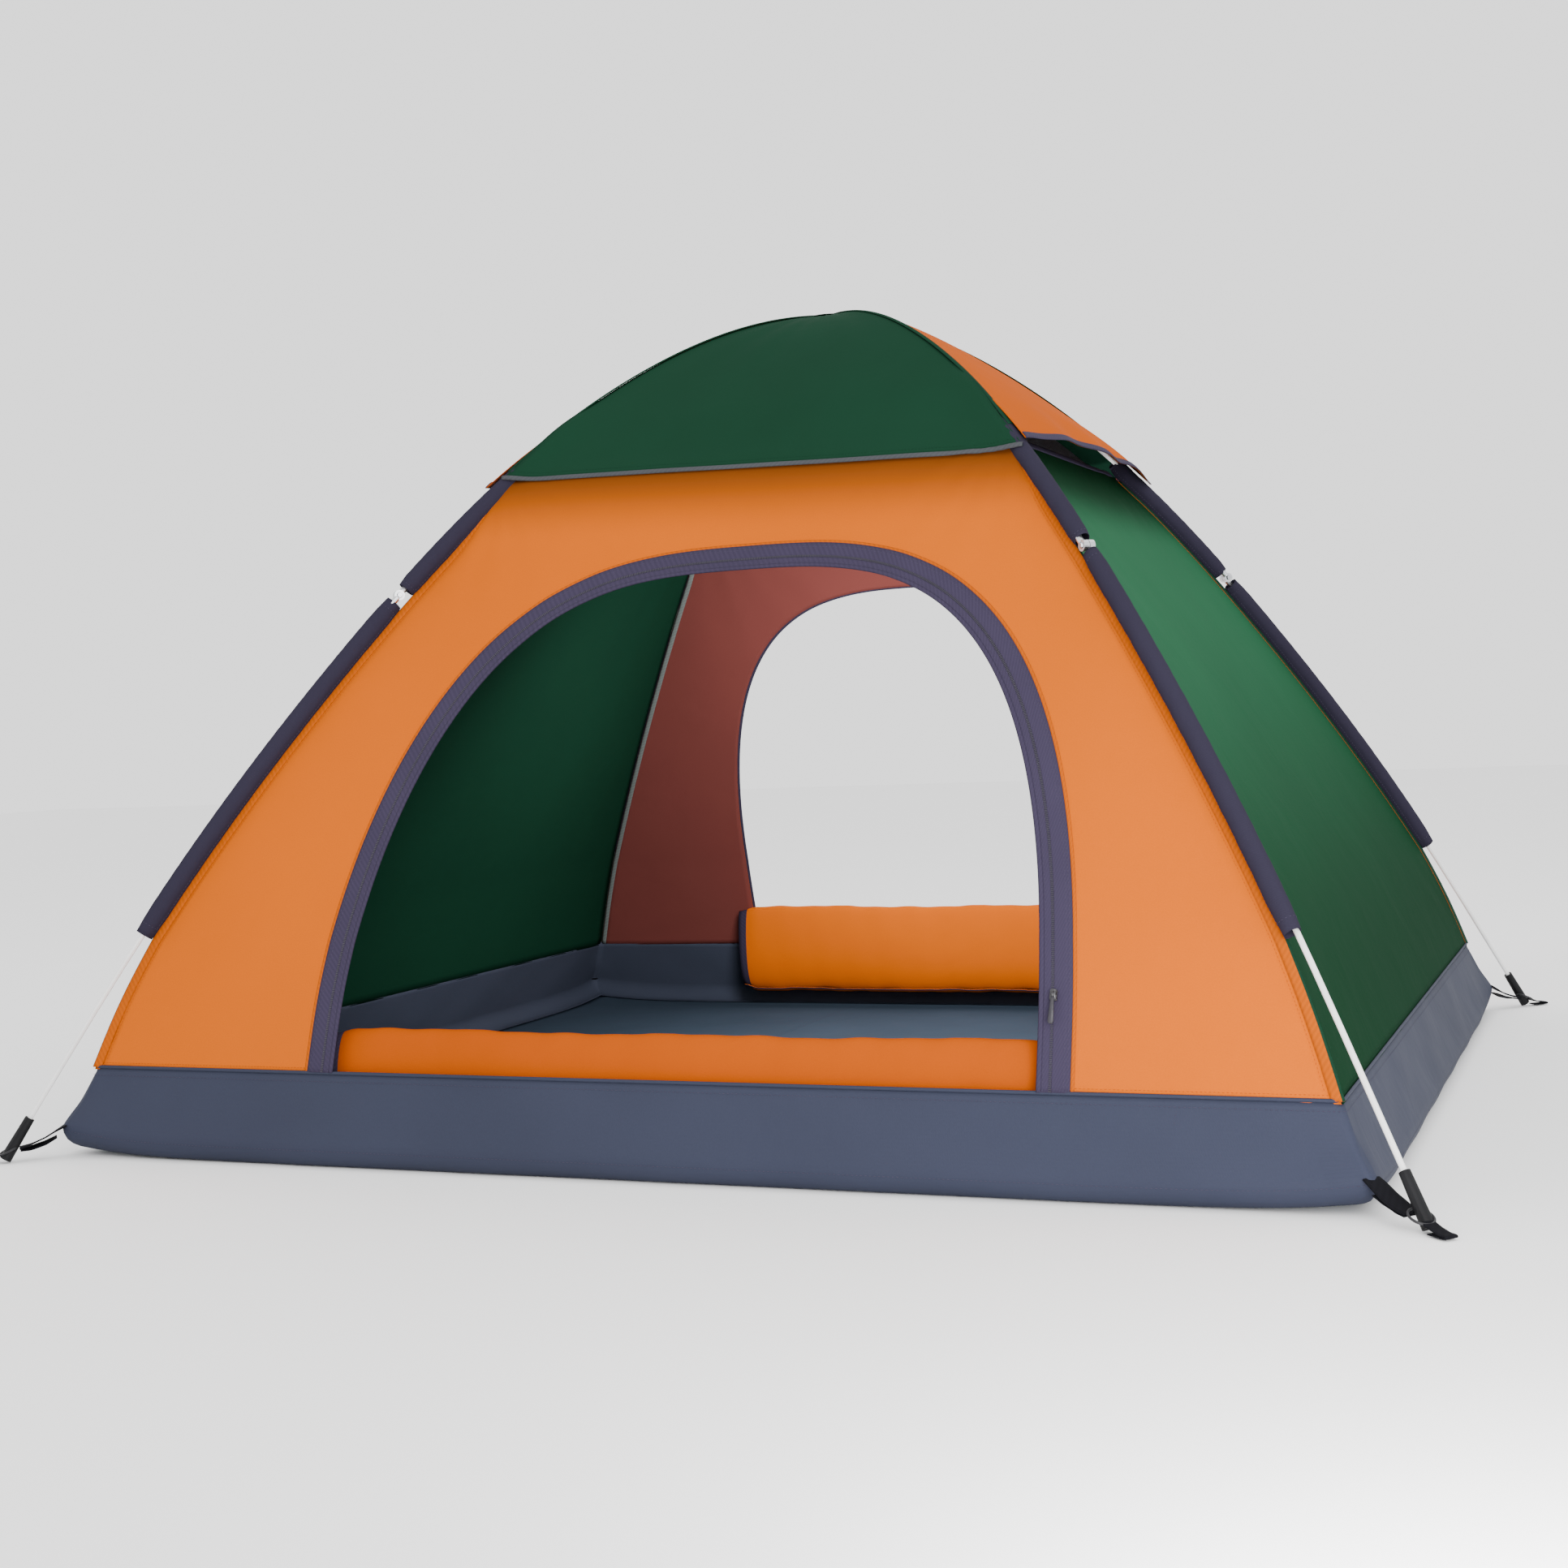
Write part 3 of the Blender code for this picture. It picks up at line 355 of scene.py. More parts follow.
M = {
    # the orange's second colour is painted shade, used under the eave and beside the ribs
    "orange": cloth("orange_cloth", (0.535, 0.103, 0.0001), vary=0.03, painted_shade_colour=(0.125, 0.034, 0.005)),
    # inside face: the coated back of the orange cloth, made darker still as painted shade of the tent's inside
    "orange_in": cloth("orange_lining_and_painted_shade", (0.175, 0.046, 0.039)),
    "hood": cloth("hood_orange_cloth", (0.43, 0.076, 0.0001), vary=0.04),
    "hood_in": cloth("hood_lining", (0.16, 0.036, 0.015)),
    # one flap cloth at two brightnesses: the front flap's darker colour is painted shade, the rear flap's lighter
    # colour is painted light
    "roll_front": cloth("front_flap_cloth_painted_shade", (0.400, 0.066, 0.0001), vary=0.05, crumple=0.0020),
    "roll_rear": cloth("rear_flap_cloth_painted_light", (0.660, 0.122, 0.0002), vary=0.05, crumple=0.0020),
    # the green's second colour is painted shade, used under the vent hood and towards the tub
    "green": cloth("side_green_cloth", (0.0150, 0.092, 0.041), vary=0.06, painted_shade_colour=(0.0004, 0.016, 0.0045)),
    # inside face: the back of the green cloth, made darker still as painted shade of the tent's inside
    "green_in": cloth("green_lining_and_painted_shade", (0.0066, 0.041, 0.0217)),
    "top": cloth("top_green_cloth", (0.0067, 0.0337, 0.0176), vary=0.07),
    "top_in": cloth("top_lining", (0.006, 0.030, 0.017)),
    "tape": webbing("binding_tape", (0.0393, 0.0316, 0.0585)),
    "piping": webbing("eave_piping", (0.055, 0.058, 0.064)),
    "sleeve": cloth("sleeve_cloth", (0.0245, 0.0215, 0.0365), rough=0.85, weave=0.0008, weave_depth=0.0001, crumple=0.0016),
    "tub": cloth("tub_oxford", (0.031, 0.035, 0.057), rough=0.60, weave=0.0008, weave_depth=0.00006, spec=0.06, vary=0.07, crumple=0.0016),
    "tub_in": cloth("tub_oxford_lining", (0.050, 0.058, 0.086), rough=0.72, weave=0.0008, spec=0.06),
    "floor": cloth("floor_oxford", (0.045, 0.064, 0.092), rough=0.80, weave=0.0008, crumple=0.0022, vary=0.10, spec=0.02),
    "seam": webbing("seam_fold", (0.42, 0.080, 0.0002)),
    "seam_green": webbing("seam_fold_green", (0.008, 0.036, 0.019)),
    "seam_light": webbing("seam_tape", (0.16, 0.18, 0.17)),
    "thread_orange": cloth("thread_orange", (0.42, 0.066, 0.003), weave=0.0004),
    "thread_green": cloth("thread_green", (0.009, 0.042, 0.022), weave=0.0004),
    "thread_grey": cloth("thread_grey", (0.060, 0.052, 0.082), weave=0.0004),
    "coil": moulded("zip_coil", (0.020, 0.018, 0.026), rough=0.38),
    "net": netting("roof_netting", (0.050, 0.050, 0.060)),
    "strap": webbing("strap_webbing", (0.006, 0.006, 0.008), rib=0.0014, depth=0.0003),
    "ring": moulded("ring_lacquer", (0.020, 0.020, 0.022), rough=0.42, spec=0.2),
    "slider": moulded("slider_lacquer", (0.014, 0.013, 0.016), rough=0.32, coat=0.4),
    "pull": moulded("pull_lacquer", (0.030, 0.028, 0.034), rough=0.38, spec=0.3),
}

# ------------------------------------------------------------------ making pieces


def link(name, verts, faces, mats, index=None, uv=None, smooth_faces=True):
    m = bpy.data.meshes.new(name)
    m.from_pydata(np.asarray(verts, float).tolist(), [], faces)
    for k in mats:
        m.materials.append(k)
    if index is not None:
        m.polygons.foreach_set("material_index", np.asarray(index, np.int32))
    m.polygons.foreach_set("use_smooth", np.full(len(m.polygons), smooth_faces))
    layer = m.uv_layers.new(name="UVMap")
    loops = np.zeros(len(m.loops), np.int32)
    m.loops.foreach_get("vertex_index", loops)
    if uv is None:
        uv = np.asarray(verts, float)[:, [0, 2]]
    layer.data.foreach_set("uv", np.asarray(uv, np.float32)[loops].reshape(-1))
    m.update()
    o = bpy.data.objects.new(name, m)
    bpy.context.scene.collection.objects.link(o)
    return o


def normals_of(P, close=False):
    if close:
        du = np.roll(P, -1, 1) - np.roll(P, 1, 1)
    else:
        du = np.gradient(P, axis=1)
    dv = np.gradient(P, axis=0) if len(P) > 1 else np.zeros_like(P)
    n = np.cross(du, dv)
    size = np.linalg.norm(n, axis=-1, keepdims=True)
    bad = size[..., 0] < 1e-12
    n = n / np.maximum(size, 1e-12)
    if bad.any():
        n[bad] = n[~bad].mean(0) if (~bad).any() else (0, 0, 1)
    return n


def sheet_of(name, P, outer, inner=None, thick=0.0009, close=False, centre=(0, 0, 0.45), uv=None, painted_shade_weight=None,
             outward=None, alt=None, alt_mask=None):
    """A sheet with real thickness: its outer face, its inner face and its cut edge."""
    P = np.asarray(P, float)
    nr, nc = P.shape[:2]
    n = normals_of(P, close)
    if outward is None:
        side = ((P - np.array(centre)) * n).sum()
        if side < 0:
            n = -n
            flip = True
        else:
            flip = False
    else:
        side = (n * outward).sum()
        flip = side < 0
        if flip:
            n = -n
    verts = np.concatenate([(P + n * thick / 2).reshape(-1, 3), (P - n * thick / 2).reshape(-1, 3)])
    cols = nc if close else nc - 1
    i, j = np.meshgrid(np.arange(nr - 1), np.arange(cols), indexing="ij")
    k = (j + 1) % nc
    a, b, c, d = i * nc + j, i * nc + k, (i + 1) * nc + k, (i + 1) * nc + j
    quad = np.stack([a, b, c, d], -1).reshape(-1, 4)
    top = quad if not flip else quad[:, ::-1]
    low = (quad[:, ::-1] if not flip else quad) + nr * nc
    rim = []
    for row in (0, nr - 1):
        for jj in range(cols):
            kk = (jj + 1) % nc
            p, q = row * nc + jj, row * nc + kk
            rim.append((p, q, q + nr * nc, p + nr * nc) if (row != 0) ^ flip else (q, p, p + nr * nc, q + nr * nc))
    if not close:
        for col in (0, nc - 1):
            for ii in range(nr - 1):
                p, q = ii * nc + col, (ii + 1) * nc + col
                rim.append((p, q, q + nr * nc, p + nr * nc) if (col == 0) ^ flip else (q, p, p + nr * nc, q + nr * nc))
    faces = top.tolist() + low.tolist() + rim
    two = inner is not None and inner is not outer
    index = np.zeros(len(faces), np.int32)
    mats = [outer] + ([inner] if two else [])
    if two:
        index[len(quad): 2 * len(quad)] = 1
    if alt is not None:
        mats.append(alt)
        m = np.asarray(alt_mask)[:-1, :cols].reshape(-1)
        index[: len(quad)][m] = len(mats) - 1
        index[len(quad): 2 * len(quad)][m] = len(mats) - 1
    if uv is None:
        step_u = np.linalg.norm(np.diff(P, axis=1), axis=-1)
        u = np.concatenate([np.zeros((nr, 1)), np.cumsum(step_u, 1)], 1)
        step_v = np.linalg.norm(np.diff(P, axis=0), axis=-1) if nr > 1 else np.zeros((0, nc))
        v = np.concatenate([np.zeros((1, nc)), np.cumsum(step_v, 0)], 0)
        uv = np.stack([u - u.mean(), v], -1)
    uv = np.asarray(uv, float).reshape(-1, 2)
    o = link(name, verts, faces, mats, index, np.concatenate([uv, uv]))
    # painted shade: each vertex keeps its painted-shade weight, which the cloth shader reads
    if painted_shade_weight is not None:
        att = o.data.attributes.new("painted_shade_amount", "FLOAT", "POINT")
        att.data.foreach_set("value", np.concatenate([painted_shade_weight.reshape(-1), painted_shade_weight.reshape(-1)]).astype(np.float32))
    return o


def path_frames(points, normals):
    t = np.gradient(points, axis=0)
    t /= np.maximum(np.linalg.norm(t, axis=1, keepdims=True), 1e-12)
    n = normals - (normals * t).sum(1, keepdims=True) * t
    n /= np.maximum(np.linalg.norm(n, axis=1, keepdims=True), 1e-12)
    return t, n, np.cross(t, n)


def spaced(points, step):
    length = np.concatenate([[0], np.cumsum(np.linalg.norm(np.diff(points, axis=0), axis=1))])
    count = max(2, int(length[-1] / step))
    at = (np.arange(count) + 0.5) * length[-1] / count
    return at, length


def resample(points, count):
    length = np.concatenate([[0], np.cumsum(np.linalg.norm(np.diff(points, axis=0), axis=1))])
    at = np.linspace(0, length[-1], count)
    return np.stack([np.interp(at, length, points[:, k]) for k in range(points.shape[1])], 1)


class Bits:
    """Many small solids gathered into one piece."""

    def __init__(self):
        self.v, self.f = [], []

    def stitches(self, points, normals, pitch=0.0052, long=0.0036, wide=0.0008, high=0.0005):
        t, n, b = path_frames(points, normals)
        at, length = spaced(points, pitch)
        p = np.stack([np.interp(at, length, points[:, k]) for k in range(3)], 1)
        tt, nn, bb = (np.stack([np.interp(at, length, a[:, k]) for k in range(3)], 1) for a in (t, n, b))
        start = sum(len(x) for x in self.v)
        v = np.stack([p - tt * long / 2, p + tt * long / 2, p + bb * wide / 2, p - bb * wide / 2, p + nn * high], 1)
        self.v.append(v.reshape(-1, 3))
        for i in range(len(p)):
            k = start + 5 * i
            self.f += [(k, k + 3, k + 4), (k, k + 4, k + 2), (k + 1, k + 2, k + 4), (k + 1, k + 4, k + 3), (k, k + 2, k + 1, k + 3)]

    def teeth(self, points, normals, pitch=0.0026, long=0.0015, wide=0.0046, high=0.0014):
        t, n, b = path_frames(points, normals)
        at, length = spaced(points, pitch)
        p = np.stack([np.interp(at, length, points[:, k]) for k in range(3)], 1)
        tt, nn, bb = (np.stack([np.interp(at, length, a[:, k]) for k in range(3)], 1) for a in (t, n, b))
        start = sum(len(x) for x in self.v)
        c = []
        for st, sb, h in ((-1, -1, 0), (1, -1, 0), (1, 1, 0), (-1, 1, 0), (-0.7, -0.75, 1), (0.7, -0.75, 1), (0.7, 0.75, 1), (-0.7, 0.75, 1)):
            c.append(p + tt * st * long / 2 + bb * sb * wide / 2 + nn * high * h)
        self.v.append(np.stack(c, 1).reshape(-1, 3))
        for i in range(len(p)):
            k = start + 8 * i
            self.f += [(k + 3, k + 2, k + 1, k), (k + 4, k + 5, k + 6, k + 7), (k, k + 1, k + 5, k + 4),
                       (k + 1, k + 2, k + 6, k + 5), (k + 2, k + 3, k + 7, k + 6), (k + 3, k, k + 4, k + 7)]

    def make(self, name, mat):
        return link(name, np.concatenate(self.v), self.f, [mat], smooth_faces=False)


def tape_on(name, wall, path, half, lift, mat, crown=0.0008, thick=0.0010, across=6, inner=None):
    """A tape laid along a path on a wall; path holds (x, run)."""
    t = np.gradient(path, axis=0)
    t /= np.maximum(np.linalg.norm(t, axis=1, keepdims=True), 1e-12)
    side = np.stack([-t[:, 1], t[:, 0]], 1)
    w = np.linspace(-1, 1, across + 1)
    rows = [wall.P(path[:, 0] + side[:, 0] * half * k, path[:, 1] + side[:, 1] * half * k, lift + crown * (1 - k**4)) for k in w]
    return sheet_of(name, np.array(rows), mat, inner or mat, thick)


def on_wall(wall, path, lift):
    p = wall.P(path[:, 0], path[:, 1], lift)
    q = wall.P(path[:, 0], path[:, 1], lift + 0.01)
    n = q - p
    return p, n / np.linalg.norm(n, axis=1, keepdims=True)


def offset_path(path, by):
    t = np.gradient(path, axis=0)
    t /= np.maximum(np.linalg.norm(t, axis=1, keepdims=True), 1e-12)
    return path + np.stack([-t[:, 1], t[:, 0]], 1) * by


def falls(o, body="canopy", stands_for=()):
    """Rides with the canopy, and sinks with it as the hub comes down."""
    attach(o, body)
    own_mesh(o)
    if stands_for:
        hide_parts(*stands_for)
    return o


# ------------------------------------------------------------------ doors


def door_edge(wall, shift, inset, count):
    foot = wall.long
    phi = np.linspace(0, math.pi, 700)
    c = np.cos(phi)
    w = -DOOR_HALF_WIDE * np.sign(c) * np.abs(c) ** 0.69
    z = TUB_HIGH + (DOOR_TOP[wall.side] - TUB_HIGH) * np.clip(np.sin(phi), 0, 1) ** 0.8
    fine = np.stack([w, wall.run_at(np.maximum(z, TUB_HIGH))], 1)
    fine[:, 1] = np.minimum(fine[:, 1], foot)
    if inset:
        t = np.gradient(fine, axis=0)
        t /= np.linalg.norm(t, axis=1)[:, None]
        fine = fine + np.stack([-t[:, 1], t[:, 0]], 1) * inset
        fine = fine[fine[:, 1] < foot]
        fine = np.vstack([(fine[0, 0], foot), fine, (fine[-1, 0], foot)])
    out = resample(fine, count)
    out[:, 0] += shift if wall.side == "front" else -shift
    return out


def border(wall, count, inset=0.0016, low=0.004):
    """The panel's own edge: up its left side, along the eave, down its right side."""
    foot, turn = wall.long + low, int(count * 0.36)
    pts = []
    for i in range(count):
        if i <= turn:
            run = foot * (1 - i / turn)
            pts.append((-(wall.half_at(run) - inset), run))
        elif i >= count - 1 - turn:
            run = foot * (1 - (count - 1 - i) / turn)
            pts.append((wall.half_at(run) - inset, run))
        else:
            half = wall.half_at(0) - inset
            t = (i - turn) / (count - 1 - 2 * turn)
            pts.append((half * (2 * t - 1), 0.0))
    return np.array(pts)


def seam_drop(wall, x):
    """How far down the slope the eave seam lies at x."""
    half = float(wall.half_at(0))
    return EAVE_DROP[wall.side] * smooth(np.asarray(x) / half, -1.4, 1.4)


soft = []


def door_wall(side):
    wall = Wall(side, wall_profile(EAVE_SHARE), sag=0.005, folds=0.0010)
    n, shift = 241, DOOR_SHIFT[side]
    edge = door_edge(wall, shift, BAND_WIDE - 0.004, n)
    out = border(wall, n)
    t = np.linspace(0, 1, 27)[:, None, None] ** 0.9
    flat = out[None] * (1 - t) + edge[None] * t
    P = wall.P(flat[..., 0], flat[..., 1])
    # painted shade: darkens the orange cloth a hand's width under the eave seam and in a thin band beside each rib
    # sleeve
    down = flat[..., 1] - seam_drop(wall, flat[..., 0])
    painted_shade_weight = 0.96 * (1 - smooth(down, 0.0, 0.125)) ** 1.2
    rib = wall.half_at(flat[..., 1]) - np.abs(flat[..., 0])
    painted_shade_weight = np.maximum(painted_shade_weight, 0.35 * (1 - smooth(rib, 0.010, 0.020)))
    ring = DOOR_HALF_WIDE
    band = np.linalg.norm(flat - door_edge(wall, shift, -0.0, n)[None], axis=-1)
    o = sheet_of(side + "_panel_cloth", P, M["orange"], M["orange_in"], uv=flat, painted_shade_weight=painted_shade_weight)
    falls(o, stands_for=[side + "_panel"])
    # arch binding with a raised rolled rim on the opening side
    mid = door_edge(wall, shift, BAND_WIDE / 2, n)
    bind = tape_on(side + "_arch_binding", wall, mid, BAND_WIDE / 2, 0.0013, M["tape"], crown=0.0010, thick=0.0014, across=10)
    falls(bind, stands_for=[side + "_door_binding"])
    rim = tape_on(side + "_arch_rim", wall, door_edge(wall, shift, BAND_WIDE - 0.0025, n), 0.0030, 0.0022, M["tape"], crown=0.0014, thick=0.0012, across=5)
    falls(rim)
    fold = tape_on(side + "_arch_seam", wall, door_edge(wall, shift, -0.0022, n), 0.0026, 0.0006, M["seam"], crown=0.0008, thick=0.0008, across=4)
    falls(fold)
    bits = Bits()
    for inset in (0.0040, 0.0082, BAND_WIDE - 0.0075):
        p, nn = on_wall(wall, door_edge(wall, shift, inset, 500), 0.0028)
        bits.stitches(p, nn)
    s = bits.make(side + "_arch_stitching", M["thread_grey"])
    falls(s)
    bits = Bits()
    p, nn = on_wall(wall, door_edge(wall, shift, BAND_WIDE / 2 + 0.004, 500), 0.0024)
    bits.teeth(p, nn)
    z = bits.make(side + "_zip_coil", M["coil"])
    falls(z)
    # stitched seam along the tub and up the ribs
    bits = Bits()
    for sgn in (-1, 1):
        run = np.linspace(0.10, wall.long - 0.01, 260)
        path = np.stack([sgn * (wall.half_at(run) - 0.0165), run], 1)
        p, nn = on_wall(wall, path, 0.0007)
        bits.stitches(p, nn)
    for a, b in ((-0.97, None), (None, 0.97)):
        half = float(wall.half_at(wall.long))
        x0, x1 = (-half * 0.985, edge[0, 0] - BAND_WIDE) if a else (edge[-1, 0] + BAND_WIDE, half * 0.985)
        path = np.stack([np.linspace(x0, x1, 80), np.full(80, wall.long - 0.006)], 1)
        p, nn = on_wall(wall, path, 0.0007)
        bits.stitches(p, nn)
    s = bits.make(side + "_panel_stitching", M["thread_orange"])
    falls(s)
    # inside seam tapes where the wall meets its neighbours
    for sgn in (-1, 1):
        run = np.linspace(0.06, wall.long, 120)
        path = np.stack([sgn * (wall.half_at(run) - 0.008), run], 1)
        tape = tape_on(f"{side}_inner_tape_{'a' if sgn < 0 else 'b'}", wall, path, 0.0045, -0.0016, M["seam_light"], crown=-0.0004, thick=0.0006, across=3)
        falls(tape)
    return wall


walls = {side: door_wall(side) for side in ("front", "rear")}

# ------------------------------------------------------------------ side walls
for side in ("left", "right"):
    wall = Wall(side, wall_profile(VENT_SHARE), sag=0.012, folds=0.0012)
    v = np.linspace(0, 1, 60)[:, None]
    u = np.linspace(-1, 1, 73)[None]
    run = v * (wall.long + 0.004) + 0 * u
    x = u * (wall.half_at(run) - 0.0016)
    # painted shade: darkens the green cloth under the vent hood and, more and more, towards the tub
    painted_shade_weight = 0.90 * (1 - smooth(run - 0.075, 0.0, 0.11)) + 0.0 * u
    painted_shade_weight = np.maximum(painted_shade_weight, 0.86 * smooth(run / wall.long, 0.22, 0.95))
    o = sheet_of(side + "_wall_cloth", wall.P(x, run), M["green"], M["green_in"], uv=np.stack([x, run], -1), painted_shade_weight=painted_shade_weight)
    falls(o, stands_for=[side + "_panel"])
    bits = Bits()
    half = float(wall.half_at(wall.long))
    path = np.stack([np.linspace(-half * 0.985, half * 0.985, 160), np.full(160, wall.long - 0.006)], 1)
    p, nn = on_wall(wall, path, 0.0007)
    bits.stitches(p, nn)
    for sgn in (-1, 1):
        rr = np.linspace(0.10, wall.long - 0.01, 260)
        p, nn = on_wall(wall, np.stack([sgn * (wall.half_at(rr) - 0.0165), rr], 1), 0.0007)
        bits.stitches(p, nn)
    s = bits.make(side + "_wall_stitching", M["thread_green"])
    falls(s)
    hem = tape_on(side + "_vent_hem", wall, np.stack([np.linspace(-1, 1, 90) * (float(wall.half_at(0.008)) - 0.02), np.full(90, 0.008)], 1), 0.007, 0.0012, M["tape"], across=4)
    falls(hem)

# ------------------------------------------------------------------ folded seams down the ridges
SIDE_WALLS = {side: Wall(side, wall_profile(VENT_SHARE), sag=0.012, folds=0.0012) for side in ("left", "right")}
for leg, one, s1, two, s2 in (
    ("FR", "front", 1, "right", -1), ("RR", "rear", -1, "right", 1),
    ("RL", "rear", 1, "left", -1), ("FL", "front", -1, "left", 1),
):
    w1, w2 = walls[one], SIDE_WALLS[two]
    z = np.linspace(0.983, TUB_HIGH - 0.001, 200)
    r1, r2 = w1.run_at(z), w2.run_at(z)
    cols = []
    for d, lift in ((0.0125, 0.0007), (0.0080, 0.0018), (0.0030, 0.0026), (-0.0006, 0.0034)):
        cols.append(w1.P(s1 * (w1.half_at(r1) - d), r1, lift))
    for d, lift in ((-0.0006, 0.0034), (0.0030, 0.0026), (0.0080, 0.0018), (0.0125, 0.0007)):
        cols.append(w2.P(s2 * (w2.half_at(r2) - d), r2, lift))
    P = np.array(cols)
    mask = np.zeros(P.shape[:2], bool)
    mask[3:] = True
    o = sheet_of("ridge_seam_" + leg, P, M["seam"], M["seam_light"], 0.0009, alt=M["seam_green"], alt_mask=mask)
    falls(o)

# ------------------------------------------------------------------ top panels
for side in ("front", "rear"):
    wall = Wall(side, top_profile(0.0045, EAVE_SHARE - 0.002, past=0.040), sag=0.007, folds=0.0008)
    stop = float(np.interp(-rod(EAVE_SHARE, 0.0045)[1], -wall.z, wall.run))
    wall.long = stop
    wall.edge_raise = 0.0080
    v = np.linspace(0, 1, 48)[:, None]
    u = np.linspace(-1, 1, 61)[None]
    end = stop + 0.006 + EAVE_DROP[side] * smooth(u, -1.4, 1.4)
    run = v * end
    x = u * (wall.half_at(run) - 0.0010)
    lift = 0.0010 * smooth(v, 0.90, 1.0) * (1 - np.abs(u) ** 6)
    P = wall.P(x, run, lift)
    o = sheet_of(side + "_top_cloth", P, M["top"], M["top_in"], uv=np.stack([x + 0 * run, run + 0 * x], -1))
    falls(o, stands_for=["top_panel_" + side])
    uu = np.linspace(-1, 1, 180)
    e = stop + 0.006 + EAVE_DROP[side] * smooth(uu, -1.4, 1.4)
    path = np.stack([uu * (wall.half_at(e) - 0.0015), e - 0.0015], 1)
    pipe = tape_on(side + "_eave_piping", wall, path, 0.0040, 0.0014, M["piping"], crown=0.0020, thick=0.0010, across=6)
    falls(pipe)
    bits = Bits()
    p, nn = on_wall(wall, offset_path(path, 0.0085 if path[1, 0] > path[0, 0] else -0.0085), 0.0010)
    p2, nn2 = on_wall(wall, np.stack([path[:, 0] * 0.985, path[:, 1] - 0.0125], 1), 0.0014)
    bits.stitches(p2, nn2)
    s = bits.make(side + "_eave_stitching", M["thread_green"])
    falls(s)
    wide = 2 * float(wall.half_at(stop + EAVE_DROP[side]))

# ------------------------------------------------------------------ vent hoods
for side in ("left", "right"):
    wall = Wall(side, top_profile(0.0175, HOOD_SHARE, past=0.01), sag=0.0)
    stop = float(np.interp(-rod(HOOD_SHARE, 0.0175)[1], -wall.z, wall.run))
    wall.long = stop
    v = np.linspace(0, 1, 56)[:, None]
    u = np.linspace(-1, 1, 81)[None]

    def hem_run(u):
        inside = (1 - u**2) ** 0.6
        return stop - 0.006 + inside * (0.004 * np.sin(u * 7.5 + 0.8) - 0.004)

    def belly(v, u):
        inside = np.clip(1 - u**2, 0, 1)
        flutter = 0.0035 * np.sin(u * 10.0 + 1.2) * smooth(v, 0.72, 1.0) * inside**0.5
        return HOOD_STAND * smooth(v, 0.50, 1.0) * inside**0.8 + flutter + 0.004 * np.sin(np.pi * np.clip(v, 0, 1)) * inside

    run = v * hem_run(u)
    x = u * (wall.half_at(run) - 0.0010)
    o = sheet_of(side + "_hood_cloth", wall.P(x, run, belly(v, u)), M["hood"], M["hood_in"], uv=np.stack([x + 0 * run, run + 0 * x], -1))
    falls(o, stands_for=["vent_hood_" + side])
    uu = np.linspace(-1, 1, 150)
    rows = []
    for k in np.linspace(0, 1, 7):
        rr = hem_run(uu) - 0.011 + 0.0125 * k
        vv = rr / hem_run(uu)
        rows.append(wall.P(uu * (wall.half_at(rr) - 0.0015), rr, belly(vv, uu) + 0.0011 + 0.0008 * (1 - (2 * k - 1) ** 4)))
    hem = sheet_of(side + "_hood_binding", np.array(rows), M["tape"], M["tape"], 0.0012)
    falls(hem)
    bits = Bits()
    rr = hem_run(uu) - 0.0085
    p = wall.P(uu * (wall.half_at(rr) - 0.006), rr, belly(rr / hem_run(uu), uu) + 0.0026)
    q = wall.P(uu * (wall.half_at(rr) - 0.006), rr, belly(rr / hem_run(uu), uu) + 0.0126)
    bits.stitches(p, (q - p) / 0.01)
    s = bits.make(side + "_hood_stitching", M["thread_grey"])
    falls(s)
    wide = 2 * float(wall.half_at(stop))

# ------------------------------------------------------------------ ridge piping and peak patch
for leg, azimuth in AZIMUTH.items():
    c, s_ = math.cos(azimuth), math.sin(azimuth)
    shares = np.linspace(0.006, EAVE_SHARE - 0.004, 90)
    mid, out = [], []
    for s in shares:
        lift = CAP_OVER + (0.0105 - CAP_OVER) * float(smooth(s, 0.32, HOOD_SHARE))
        a, b = rod(s, lift), rod(s, lift + 0.01)
        mid.append((a[0] * c, a[0] * s_, a[1]))
        out.append(((b[0] - a[0]) * c, (b[0] - a[0]) * s_, b[1] - a[1]))
    mid, out = np.array(mid), np.array(out) * 100
    side = np.array((-s_, c, 0.0))
    rows = [mid + side * 0.0042 * k + out * (0.0016 * (1 - k * k) + 0.0006) for k in np.linspace(-1, 1, 7)]
    o = sheet_of("ridge_piping_" + leg, np.array(rows), M["top"], M["top_in"], 0.0010)
    falls(o)

a = np.linspace(0, 2 * math.pi, 49)[:-1]
rows = []
for r in np.linspace(0.0015, 0.034, 9):
    z = np.array([max(rod_z(abs(r * math.cos(t)) / FOOT_X), rod_z(abs(r * math.sin(t)) / FOOT_Y)) * 0 + rod_z(r / REACH) for t in a]) + CAP_OVER + 0.0024 - 0.010 * (r / 0.034) ** 2 * 0.25
    rows.append(np.stack([r * np.cos(a), r * np.sin(a), z], 1))
patch = sheet_of("peak_patch", np.array(rows), M["top"], M["top_in"], 0.0010, close=True, outward=np.array((0, 0, 1.0)))
falls(patch)

